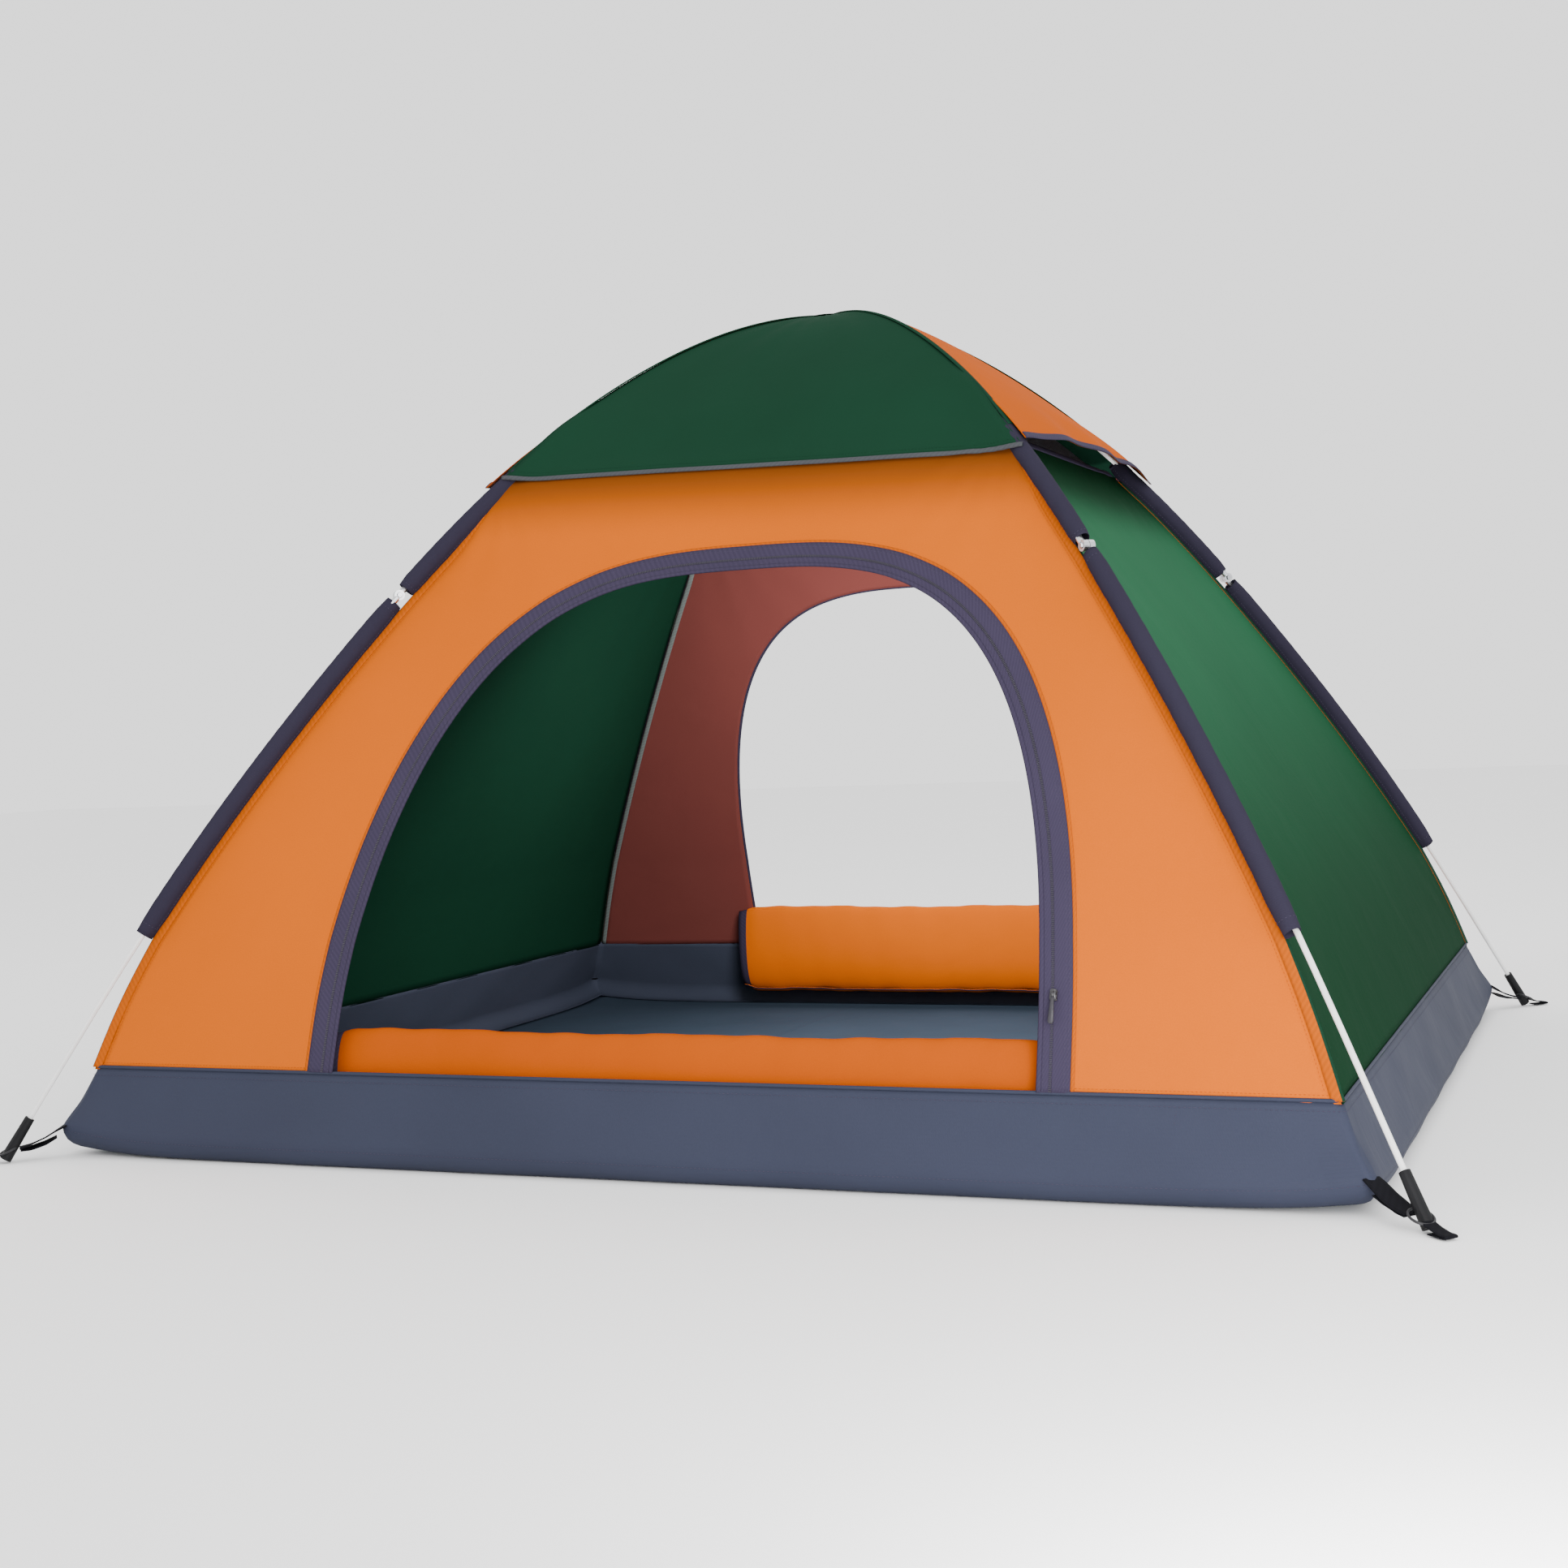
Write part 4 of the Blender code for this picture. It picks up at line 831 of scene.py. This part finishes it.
# ------------------------------------------------------------------ net roof inside
rows = []
MESH_DEEP, MESH_FLAT = 0.034, 0.10
for s in list(np.linspace(0.376, MESH_FLAT, 22)) + list(np.linspace(MESH_FLAT, 0.004, 9)[1:]):
    r, z = rod(max(s, MESH_FLAT), -MESH_DEEP)
    z = min(z, rod_z(MESH_FLAT) - MESH_DEEP - 0.008)
    if s < MESH_FLAT:
        r = r * s / MESH_FLAT
        z -= 0.004 * (1 - s / MESH_FLAT)
    x, y = r * FOOT_X / REACH, r * FOOT_Y / REACH
    q = np.linspace(-1, 1, 17)[:-1]
    ring = np.concatenate([np.stack([x * q, -y + 0 * q], 1), np.stack([x + 0 * q, y * q], 1), np.stack([-x * q, y + 0 * q], 1), np.stack([-x + 0 * q, -y * q], 1)])
    rows.append(np.concatenate([ring, np.full((len(ring), 1), z)], 1))
P = np.array(rows)
net = sheet_of("roof_net", P, M["net"], M["net"], 0.0006, close=True, uv=P[..., :2])
falls(net, stands_for=["roof_mesh"])

# ------------------------------------------------------------------ tub and floor


def corner_lift(x, y):
    cx, cy = TUB_FOOT_SHARE * FOOT_X, TUB_FOOT_SHARE * FOOT_Y
    far = np.hypot(cx - np.abs(x), cy - np.abs(y))
    return 0.016 * np.exp(-((far / 0.085) ** 1.2))


def ring_of(hx, hy, radius, per=44, turn=7):
    pts = []
    for k, (sx, sy) in enumerate(((1, -1), (1, 1), (-1, 1), (-1, -1))):
        cx, cy = sx * (hx - radius), sy * (hy - radius)
        start = (-0.5, 0.0, 0.5, 1.0)[k] * math.pi
        for q in range(turn):
            t = start + 0.5 * math.pi * q / (turn - 1)
            pts.append((cx + radius * math.cos(t), cy + radius * math.sin(t)))
        nx, ny = ((1, 1), (-1, 1), (-1, -1), (1, -1))[k]
        ex, ey = nx * (hx - radius), ny * (hy - radius)
        t = start + 0.5 * math.pi
        a0 = np.array((cx + radius * math.cos(t), cy + radius * math.sin(t)))
        b0 = np.array((ex + radius * math.cos(t), ey + radius * math.sin(t)))
        for q in range(1, per):
            p = a0 + (b0 - a0) * q / per
            pts.append(tuple(p))
    return np.array(pts)


profile = [(0.9120, 0.0011), (0.9200, 0.0011), (0.9270, 0.0016), (0.9330, 0.0042), (0.9385, 0.0100), (0.9420, 0.0190), (0.9428, 0.0290)]
for t in np.linspace(0, 1, 15)[1:]:
    profile.append((0.9428 + (TUB_TOP_SHARE + 0.0004 - 0.9428) * t, 0.0290 + (TUB_HIGH - 0.0015 - 0.0290) * t))
rows = []
for s, z in profile:
    ring = ring_of(s * FOOT_X, s * FOOT_Y, 0.012)
    t = (z - 0.029) / (TUB_HIGH - 0.029)
    run_along = np.linspace(0, 2 * math.pi, len(ring), endpoint=False)
    belly = 0.0020 * math.sin(math.pi * min(1, max(0, t))) * np.sin(run_along * 23 + 0.7) + 0.0013 * math.sin(math.pi * min(1, max(0, t)) * 2) * np.sin(run_along * 41)
    out = ring / np.maximum(np.linalg.norm(ring, axis=1, keepdims=True), 1e-9)
    ring = ring + out * belly[:, None] * 0.8
    low = (1 - min(1, max(0, z / 0.06)))
    zz = z + corner_lift(ring[:, 0], ring[:, 1]) * (1 - smooth(z, 0.02, 0.10)) + low * 0.0016 * (1 + np.sin(run_along * 31)) * (0 if s < 0.93 else 1)
    rows.append(np.concatenate([ring, zz[:, None]], 1))
P = np.array(rows)
length = np.concatenate([[0], np.cumsum(np.linalg.norm(np.diff(P[5], axis=0), axis=1))])
uv = np.stack(np.broadcast_arrays(length[None], np.array([z + s for s, z in profile])[:, None]), -1)
tub = sheet_of("tub_wall_cloth", P, M["tub"], M["tub_in"], 0.0011, close=True, centre=(0, 0, 0.9), uv=uv)
falls(tub, stands_for=["tub_wall"])
seam_bits = Bits()
for s, z in ((0.9070, 0.1165), (0.9420, 0.0245)):
    ring = ring_of(s * FOOT_X, s * FOOT_Y, 0.012)
    ring = np.vstack([ring, ring[:1]])
    zz = z + (corner_lift(ring[:, 0], ring[:, 1]) * (1 - smooth(z, 0.02, 0.10)))
    p = np.concatenate([ring * (1 + 0.0016), zz[:, None]], 1)
    n = np.concatenate([ring / np.linalg.norm(ring, axis=1, keepdims=True), np.full((len(ring), 1), 0.3)], 1)
    seam_bits.stitches(p, n, pitch=0.006, long=0.0040)
tub_stitch = seam_bits.make("tub_stitching", M["thread_grey"])
falls(tub_stitch)
rows = []
for k in np.linspace(-1, 1, 5):
    ring = ring_of((TUB_TOP_SHARE + 0.0006) * FOOT_X, (TUB_TOP_SHARE + 0.0006) * FOOT_Y, 0.012)
    ring = ring * (1 + 0.0022 * (1 - k * k))
    rows.append(np.concatenate([ring, np.full((len(ring), 1), TUB_HIGH - 0.0002 + 0.0024 * k)], 1))
welt = sheet_of("tub_top_welt", np.array(rows), M["tub"], M["tub_in"], 0.0009, close=True, centre=(0, 0, 0.9))
falls(welt)

fx, fy = 0.9125 * FOOT_X, 0.9125 * FOOT_Y
u, v = np.meshgrid(np.linspace(-1, 1, 97), np.linspace(-1, 1, 89))
x, y = u * fx, v * fy
inside = (1 - u**8) * (1 - v**8)
rumple = (
    0.0007 * np.sin(x * 9 + 2 * y) + 0.0005 * np.sin(y * 17 - 5 * x + 1) + 0.0005 * np.sin(x * 31 + y * 13)
)
z = 0.0013 + corner_lift(x, y) + np.abs(rumple) * inside
floor_cloth = sheet_of("floor_cloth_sheet", np.stack([x, y, z], -1), M["floor"], M["floor"], 0.0010, outward=np.array((0, 0, 1.0)), uv=np.stack([x, y], -1))
falls(floor_cloth, stands_for=["groundsheet"])
bits = Bits()
for x0 in (-0.305, 0.305):
    yy = np.linspace(-fy * 0.985, fy * 0.985, 120)
    for d in (-0.004, 0.004):
        p = np.stack([np.full(120, x0 + d), yy, np.full(120, 0.0032)], 1)
        bits.stitches(p, np.tile((0.0, 0.0, 1.0), (120, 1)), pitch=0.006)
floor_stitch = bits.make("floor_stitching", M["thread_grey"])
falls(floor_stitch)

# ------------------------------------------------------------------ rolled door flaps
for side, sign in (("front", -1), ("rear", 1)):
    high = ROLL_HIGH[side]
    centre_z = 0.034 + 0.5 * high
    sill = TUB_TOP_SHARE * FOOT_Y - 0.5 * ROLL_THICK - 0.0135
    half = DOOR_HALF_WIDE - 0.022
    turns = 2.35
    theta = np.linspace(0, turns * 2 * math.pi, 150)
    left = (theta[-1] - theta) / (2 * math.pi)
    f = 1.0 - 0.035 * np.minimum(left, 1.0) - 0.30 * np.maximum(left - 1.0, 0.0)
    th = theta - turns * 2 * math.pi - 1.15
    cols = np.linspace(-1, 1, 121)
    T, C = np.meshgrid(th, cols, indexing="ij")
    F = np.repeat(f[:, None], len(cols), 1)
    pinch = 1 - 0.10 * smooth(np.abs(C), 0.93, 1.0)
    crease = 0.016 * np.sin(C * 9.0 + 1.1 * T) + 0.010 * np.sin(C * 23.0 - 1.7 * T + 0.6) + 0.008 * np.sin(C * 47.0 + 2 * T)
    F = np.minimum(F * pinch * (1 + crease * smooth(F, 0.5, 1.0)), 1.0)
    zc = np.sin(T)
    d = 0.5 * ROLL_THICK * (1 - 0.28 * zc) * np.cos(T) * F
    zz = 0.5 * high * zc * F
    zz = zz - 0.0025 * (1 - np.abs(C) ** 2) * smooth(zc, -1, 1)
    x = C * half + 0.006 * np.sin(T * 1.1) * np.sign(C) * smooth(np.abs(C), 0.9, 1.0)
    P = np.stack([x + DOOR_SHIFT[side], sign * (sill - d), centre_z + zz], -1)
    length = np.concatenate([[0], np.cumsum(np.linalg.norm(np.diff(P[:, 60], axis=0), axis=1))])
    uv = np.stack(np.broadcast_arrays(x, length[:, None]), -1)
    mask = np.abs(C * half) > half - 0.015
    mask[-2:, :] = True
    o = sheet_of(side + "_rolled_flap", P, M["roll_" + side], M["roll_" + side], 0.0010, outward=np.stack([0 * d, -sign * np.cos(T), np.sin(T)], -1), uv=uv, alt=M["tape"], alt_mask=mask)
    falls(o, stands_for=[side + "_door_roll"])
    wall = walls[side]
    e = door_edge(wall, 0.0, BAND_WIDE, 300)

# ------------------------------------------------------------------ rib sleeves
elbow = rod(ELBOW_SHARE)


def sleeve(leg, kind, s0, s1, body, node):
    azimuth = AZIMUTH[leg]
    c, s_ = math.cos(azimuth), math.sin(azimuth)
    shares = np.linspace(s0, s1, 84)
    a = np.linspace(0, 2 * math.pi, 33)[:-1]
    rows, mid, outs = [], [], []
    side = np.array((-s_, c, 0.0))
    for k, s in enumerate(shares):
        p, q = rod(s), rod(s, 1.0)
        n2 = q - p
        n = np.array((n2[0] * c, n2[0] * s_, n2[1]))
        base = np.array((p[0] * c, p[0] * s_, p[1]))
        grow = 1.0
        if kind == "upper":
            grow = 0.80 + 0.20 * float(smooth(s, SLEEVE_UPPER_START, SLEEVE_UPPER_START + 0.016))
        end = min(k, len(shares) - 1 - k) / 6.0
        grow *= 0.84 + 0.16 * math.sin(min(1.0, end) * math.pi / 2)
        ripple = 1 + 0.018 * np.sin(s * 210 + 2.0 * np.sin(a)) * np.abs(np.cos(a)) + 0.012 * np.sin(s * 530 + 3 * a)
        up = SLEEVE_HALF_HIGH * 0.83 * grow * np.sin(a) - 0.0028 * grow
        # the cloth is pinched to a flat flange on the side of the panels
        pinch = 1 - 0.30 * smooth(-np.sin(a), 0.3, 1.0)
        out = SLEEVE_HALF_WIDE * 0.86 * grow * np.cos(a) * pinch
        rows.append(base + n * (up * ripple * 0.99)[:, None] + side * (out * ripple)[:, None])
    P = np.array(rows)
    o = sheet_of(f"{kind}_sleeve_cloth_{leg}", P, M["sleeve"], M["sleeve"], 0.0008, close=True,
                 outward=P - P.mean(1, keepdims=True))
    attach(o, body)
    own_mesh(o)
    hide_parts(node)
    bits = Bits()
    for col in (4, 12, 20, 28):
        if col in (4, 12):
            continue
        line = P[2:-2, col]
        nn = line - P[2:-2].mean(1)
        nn /= np.linalg.norm(nn, axis=1, keepdims=True)
        bits.stitches(line + nn * 0.0006, nn)
    for row in (2, -3):
        line = np.vstack([P[row], P[row][:1]])
        nn = line - P[row].mean(0)
        nn /= np.linalg.norm(nn, axis=1, keepdims=True)
        bits.stitches(line + nn * 0.0006, nn)
    st = bits.make(f"{kind}_sleeve_stitching_{leg}", M["thread_grey"])
    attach(st, body)
    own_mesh(st)


for leg in LEGS:
    sleeve(leg, "upper", SLEEVE_UPPER_START, SLEEVE_UPPER_END, f"upper_{leg}", f"upper_sleeve_{leg}")
    sleeve(leg, "lower", SLEEVE_LOWER[0], SLEEVE_LOWER[1], f"lower_{leg}", f"lower_sleeve_{leg}")

# ------------------------------------------------------------------ corner webbing, rings and stake loops
tub_corner = TUB_FOOT_SHARE * REACH


def torus(name, centre, axis, major, minor, mat, squash_to=1.0):
    axis = np.array(axis, float) / np.linalg.norm(axis)
    side = np.cross(axis, (0, 0, 1.0))
    if np.linalg.norm(side) < 1e-6:
        side = np.array((1.0, 0, 0))
    side /= np.linalg.norm(side)
    up = np.cross(side, axis)
    verts, faces, uv = [], [], []
    nu, nv = 40, 12
    for i in range(nu):
        t = 2 * math.pi * i / nu
        ring = side * math.cos(t) + up * math.sin(t) * squash_to
        for j in range(nv):
            p = 2 * math.pi * j / nv
            verts.append(np.array(centre) + ring * major + (ring / np.linalg.norm(ring) * math.cos(p) + axis * math.sin(p)) * minor)
            uv.append((t * major, p * minor))
            faces.append((i * nv + j, ((i + 1) % nu) * nv + j, ((i + 1) % nu) * nv + (j + 1) % nv, i * nv + (j + 1) % nv))
    return link(name, np.array(verts), faces, [mat], uv=np.array(uv))


def strap_of(name, path, width, mat, azimuth, thick=0.0015, twist=0.0):
    """A webbing strap in the upright plane of a rib; path holds (distance, height)."""
    path = resample(np.array(path, float), 70)
    for _ in range(6):
        path[1:-1] = (path[:-2] + path[1:-1] * 2 + path[2:]) / 4
    t = np.gradient(path, axis=0)
    t /= np.linalg.norm(t, axis=1, keepdims=True)
    n = np.stack([-t[:, 1], t[:, 0]], 1)
    c, s_ = math.cos(azimuth), math.sin(azimuth)
    rows = []
    k = np.linspace(0, 1, len(path))
    for w in np.linspace(-1, 1, 7):
        turn = twist * np.sin(k * math.pi)
        across = w * width / 2 * np.cos(turn)
        lift = w * width / 2 * np.sin(turn) + 0.0003 * (1 - w * w)
        r, z = path[:, 0] + n[:, 0] * lift, path[:, 1] + n[:, 1] * lift
        rows.append(np.stack([r * c - across * s_, r * s_ + across * c, z], 1))
    return sheet_of(name, np.array(rows), mat, mat, thick, outward=np.array((0, 0, 1.0)))


for leg, azimuth in AZIMUTH.items():
    c, s_ = math.cos(azimuth), math.sin(azimuth)
    tie = strap_of(f"corner_strap_cloth_{leg}", [(tub_corner - 0.010, 0.046), (tub_corner + 0.002, 0.040), (tub_corner + 0.020, 0.0300), (tub_corner + 0.040, 0.0225), (REACH - 0.0205, 0.0185)],
                   0.024, M["strap"], azimuth, thick=0.0020, twist=0.16)
    falls(tie, stands_for=[f"corner_strap_{leg}"])
    under = strap_of(f"corner_strap_under_{leg}", [(tub_corner + 0.004, 0.030), (tub_corner + 0.020, 0.0225), (tub_corner + 0.042, 0.0165), (REACH - 0.0215, 0.0155)],
                     0.022, M["strap"], azimuth, twist=-0.12)
    falls(under)
    eye = torus(f"corner_ring_{leg}", (c * (REACH - 0.006), s_ * (REACH - 0.006), 0.0175), (c * 0.45, s_ * 0.45, 1.0), 0.0150, 0.0016, M["ring"])
    falls(eye)
    tail = strap_of(f"stake_loop_{leg}", [(REACH + 0.0035, 0.0135), (REACH + 0.016, 0.0085), (REACH + 0.030, 0.0050), (REACH + 0.040, 0.0048), (REACH + 0.0415, 0.0035), (REACH + 0.040, 0.0022), (REACH + 0.028, 0.0022), (REACH + 0.012, 0.0026)],
                    0.018, M["strap"], azimuth, thick=0.0016)
    falls(tail)

# ------------------------------------------------------------------ zip sliders and pulls


def rounded_block(size, bevel=0.001):
    import bmesh
    bm = bmesh.new()
    bmesh.ops.create_cube(bm, size=1.0)
    for v in bm.verts:
        v.co = Vector([v.co[k] * size[k] for k in range(3)])
    bmesh.ops.bevel(bm, geom=list(bm.edges), offset=bevel, segments=3, affect="EDGES", profile=0.6)
    return bm


def from_bm(bm, name, mat, world, matrices=None):
    m = bpy.data.meshes.new(name)
    bm.to_mesh(m)
    bm.free()
    m.transform(world)
    m.materials.append(mat)
    layer = m.uv_layers.new(name="UVMap")
    m.polygons.foreach_set("use_smooth", np.full(len(m.polygons), True))
    o = bpy.data.objects.new(name, m)
    bpy.context.scene.collection.objects.link(o)
    return o


import bmesh

for side in ("front", "rear"):
    wall = Wall(side, wall_profile(EAVE_SHARE))
    shift = DOOR_SHIFT[side] if side == "front" else -DOOR_SHIFT[side]
    x = DOOR_HALF_WIDE + shift - 0.5 * BAND_WIDE - 0.004
    a, b = (Vector(wall.P(x, wall.long - k, 0.0055)) for k in (0.120, 0.370))
    up = (b - a).normalized()
    across = Vector((1, 0, 0)) if side == "front" else Vector((-1, 0, 0))
    out = across.cross(up).normalized()
    turn = Matrix((across, up, out)).transposed().to_4x4()
    world = Matrix.Translation(a) @ turn
    bm = bmesh.new()
    # two waisted plates with a bridge between them
    for zz, tk in ((-0.0034, 0.0013), (0.0006, 0.0015)):
        outline = [(-0.0042, -0.0068), (0.0042, -0.0068), (0.0047, -0.0030), (0.0034, 0.0008), (0.0047, 0.0052), (0.0036, 0.0070), (-0.0036, 0.0070), (-0.0047, 0.0052), (-0.0034, 0.0008), (-0.0047, -0.0030)]
        low = [bm.verts.new((px, py, zz)) for px, py in outline]
        top = [bm.verts.new((px * 0.93, py * 0.95, zz + tk)) for px, py in outline]
        bm.faces.new(list(reversed(low)))
        bm.faces.new(top)
        for i in range(len(outline)):
            j = (i + 1) % len(outline)
            bm.faces.new((low[i], low[j], top[j], top[i]))
    for px in (-0.0041, 0.0041):
        res = bmesh.ops.create_cube(bm, size=1.0)
        for v in res["verts"]:
            v.co = Vector((v.co.x * 0.0009 + px, v.co.y * 0.0075 - 0.001, v.co.z * 0.0034 - 0.0009))
    steps = 9
    ring_prev = None
    for i in range(steps + 1):
        t = math.pi * i / steps
        cy, cz = -0.0004 - 0.0046 * math.cos(t), 0.0018 + 0.0032 * math.sin(t)
        ring = [bm.verts.new((dx * 0.0011, cy + dy * 0.0007 * math.cos(t), cz + dy * 0.0007 * math.sin(t))) for dx, dy in ((-1, -1), (1, -1), (1, 1), (-1, 1))]
        if ring_prev:
            for k in range(4):
                bm.faces.new((ring_prev[k], ring_prev[(k + 1) % 4], ring[(k + 1) % 4], ring[k]))
        else:
            bm.faces.new(list(reversed(ring)))
        ring_prev = ring
    bm.faces.new(ring_prev)
    bmesh.ops.recalc_face_normals(bm, faces=bm.faces)
    o = from_bm(bm, f"{side}_slider_body", M["slider"], world)
    falls(o, body=f"{side}_slider", stands_for=[f"{side}_zip_slider"])

    pivot = world @ Matrix.Translation((0, -0.0040, 0.0038))
    bm = bmesh.new()
    outline = []
    for k in range(25):
        t = math.pi * k / 24
        outline.append((0.0036 * math.cos(t), -0.0305 - 0.0034 * math.sin(t)))
    outline += [(-0.0026, -0.012), (-0.0022, -0.004), (-0.0024, 0.0012), (0.0024, 0.0012), (0.0022, -0.004), (0.0026, -0.012)]
    hole = [(0.0015 * math.cos(q), -0.0290 + 0.0015 * math.sin(q)) for q in np.linspace(0, 2 * math.pi, 17)[:-1]]
    low = [bm.verts.new((px, py, -0.0006)) for px, py in outline]
    top = [bm.verts.new((px, py, 0.0006)) for px, py in outline]
    bm.faces.new(list(reversed(low)))
    bm.faces.new(top)
    for i in range(len(outline)):
        j = (i + 1) % len(outline)
        bm.faces.new((low[i], low[j], top[j], top[i]))
    bmesh.ops.recalc_face_normals(bm, faces=bm.faces)
    for i in range(2):
        res = bmesh.ops.create_cube(bm, size=1.0)
        for v in res["verts"]:
            v.co = Vector((v.co.x * 0.0034, v.co.y * 0.0012 - 0.016 - 0.005 * i, v.co.z * 0.0018))
    o = from_bm(bm, f"{side}_pull_tab", M["pull"], pivot)
    falls(o, body=f"{side}_pull", stands_for=[f"{side}_zip_pull"])

# ------------------------------------------------------------------ finishes on the hard parts
FINISH = {
    "rib": moulded("glass_fibre_white", (0.80, 0.80, 0.79), rough=0.34, grain=0.00005, coat=0.25, vary=0.05),
    "socket": moulded("socket_aluminium", (0.60, 0.61, 0.63), rough=0.34, metal=1.0, brushed=True, vary=0.10),
    "elbow_pin": moulded("pin_steel", (0.52, 0.53, 0.55), rough=0.28, metal=1.0),
    "ferrule": moulded("ferrule_plastic", (0.008, 0.008, 0.009), rough=0.50, vary=0.25, spec=0.12),
    "hub_body": moulded("hub_plastic", (0.016, 0.016, 0.018), rough=0.5, vary=0.2),
    "hub_cap": moulded("hub_cap_plastic", (0.018, 0.018, 0.020), rough=0.42, vary=0.2),
    "hub_ring": moulded("wire_steel", (0.50, 0.51, 0.53), rough=0.3, metal=1.0, brushed=True),
}
for name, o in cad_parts.items():
    for key, mat in FINISH.items():
        if key in name and not o.hide_render:
            for k in range(len(o.material_slots)):
                o.material_slots[k].material = mat

# ------------------------------------------------------------------ stage, lights and camera
bm = bmesh.new()
bmesh.ops.create_grid(bm, x_segments=2, y_segments=2, size=14.0)
m = bpy.data.meshes.new("studio_floor")
bm.to_mesh(m)
bm.free()
ground = bpy.data.objects.new("studio_floor", m)
ground.location = (0, 0, -0.0006)
bpy.context.scene.collection.objects.link(ground)
pale, t, b = nodes_of("studio_pale")
tex = t.nodes.new("ShaderNodeTexCoord")
t.links.new(shade(t, tex.outputs["Object"], (0.93, 0.93, 0.93), 0.004, 1.5), b.inputs["Base Color"])
b.inputs["Roughness"].default_value = 0.9
m.materials.append(pale)

world = bpy.data.worlds.new("studio")
bpy.context.scene.world = world
world.use_nodes = True
back = world.node_tree.nodes["Background"]
back.inputs["Color"].default_value = (1.0, 1.0, 1.0, 1)
back.inputs["Strength"].default_value = 1.7


def lamp(name, place, aim, size, power):
    light = bpy.data.lights.new(name, "AREA")
    light.shape = "RECTANGLE"
    light.size, light.size_y = size
    light.energy = power
    o = bpy.data.objects.new(name, light)
    o.location = place
    o.rotation_euler = (Vector(aim) - Vector(place)).to_track_quat("-Z", "Y").to_euler()
    o.visible_camera = False
    bpy.context.scene.collection.objects.link(o)


lamp("key_soft", (3.0, -4.4, 3.4), (0, 0, 0.4), (3.0, 3.0), 120)
lamp("fill_soft", (-4.0, -3.2, 2.6), (0, 0, 0.4), (3.5, 3.0), 28)
lamp("top_soft", (0.5, 1.2, 5.0), (0, 0, 0.6), (4.0, 4.0), 52)
lamp("low_soft", (2.3, -2.9, 0.9), (0.95, -0.9, 0.05), (0.9, 0.9), 26)
lamp("cabin_soft", (0.06, -0.20, 0.62), (0.10, 0.80, 0.10), (0.34, 0.22), 16)
lamp("skirt_soft", (1.25, -2.05, 0.26), (0.75, -0.9, 0.06), (0.6, 0.3), 16)

right = Vector((0.92311657, 0.38209971, -0.04307686))
down = Vector((-0.02829384, -0.04422651, -0.99862079))
forward = Vector((-0.38347785, 0.9230622, -0.03001515))
cam = bpy.data.cameras.new("camera")
cam.sensor_fit = "AUTO"
cam.sensor_width = 36.0
cam.lens = 49.23
cam.clip_end = 100
eye = bpy.data.objects.new("camera", cam)
turn = Matrix((right, -down, -forward)).transposed().to_4x4()
eye.matrix_world = Matrix.Translation((1.268, -3.334, 0.597)) @ turn
bpy.context.scene.collection.objects.link(eye)
bpy.context.scene.camera = eye
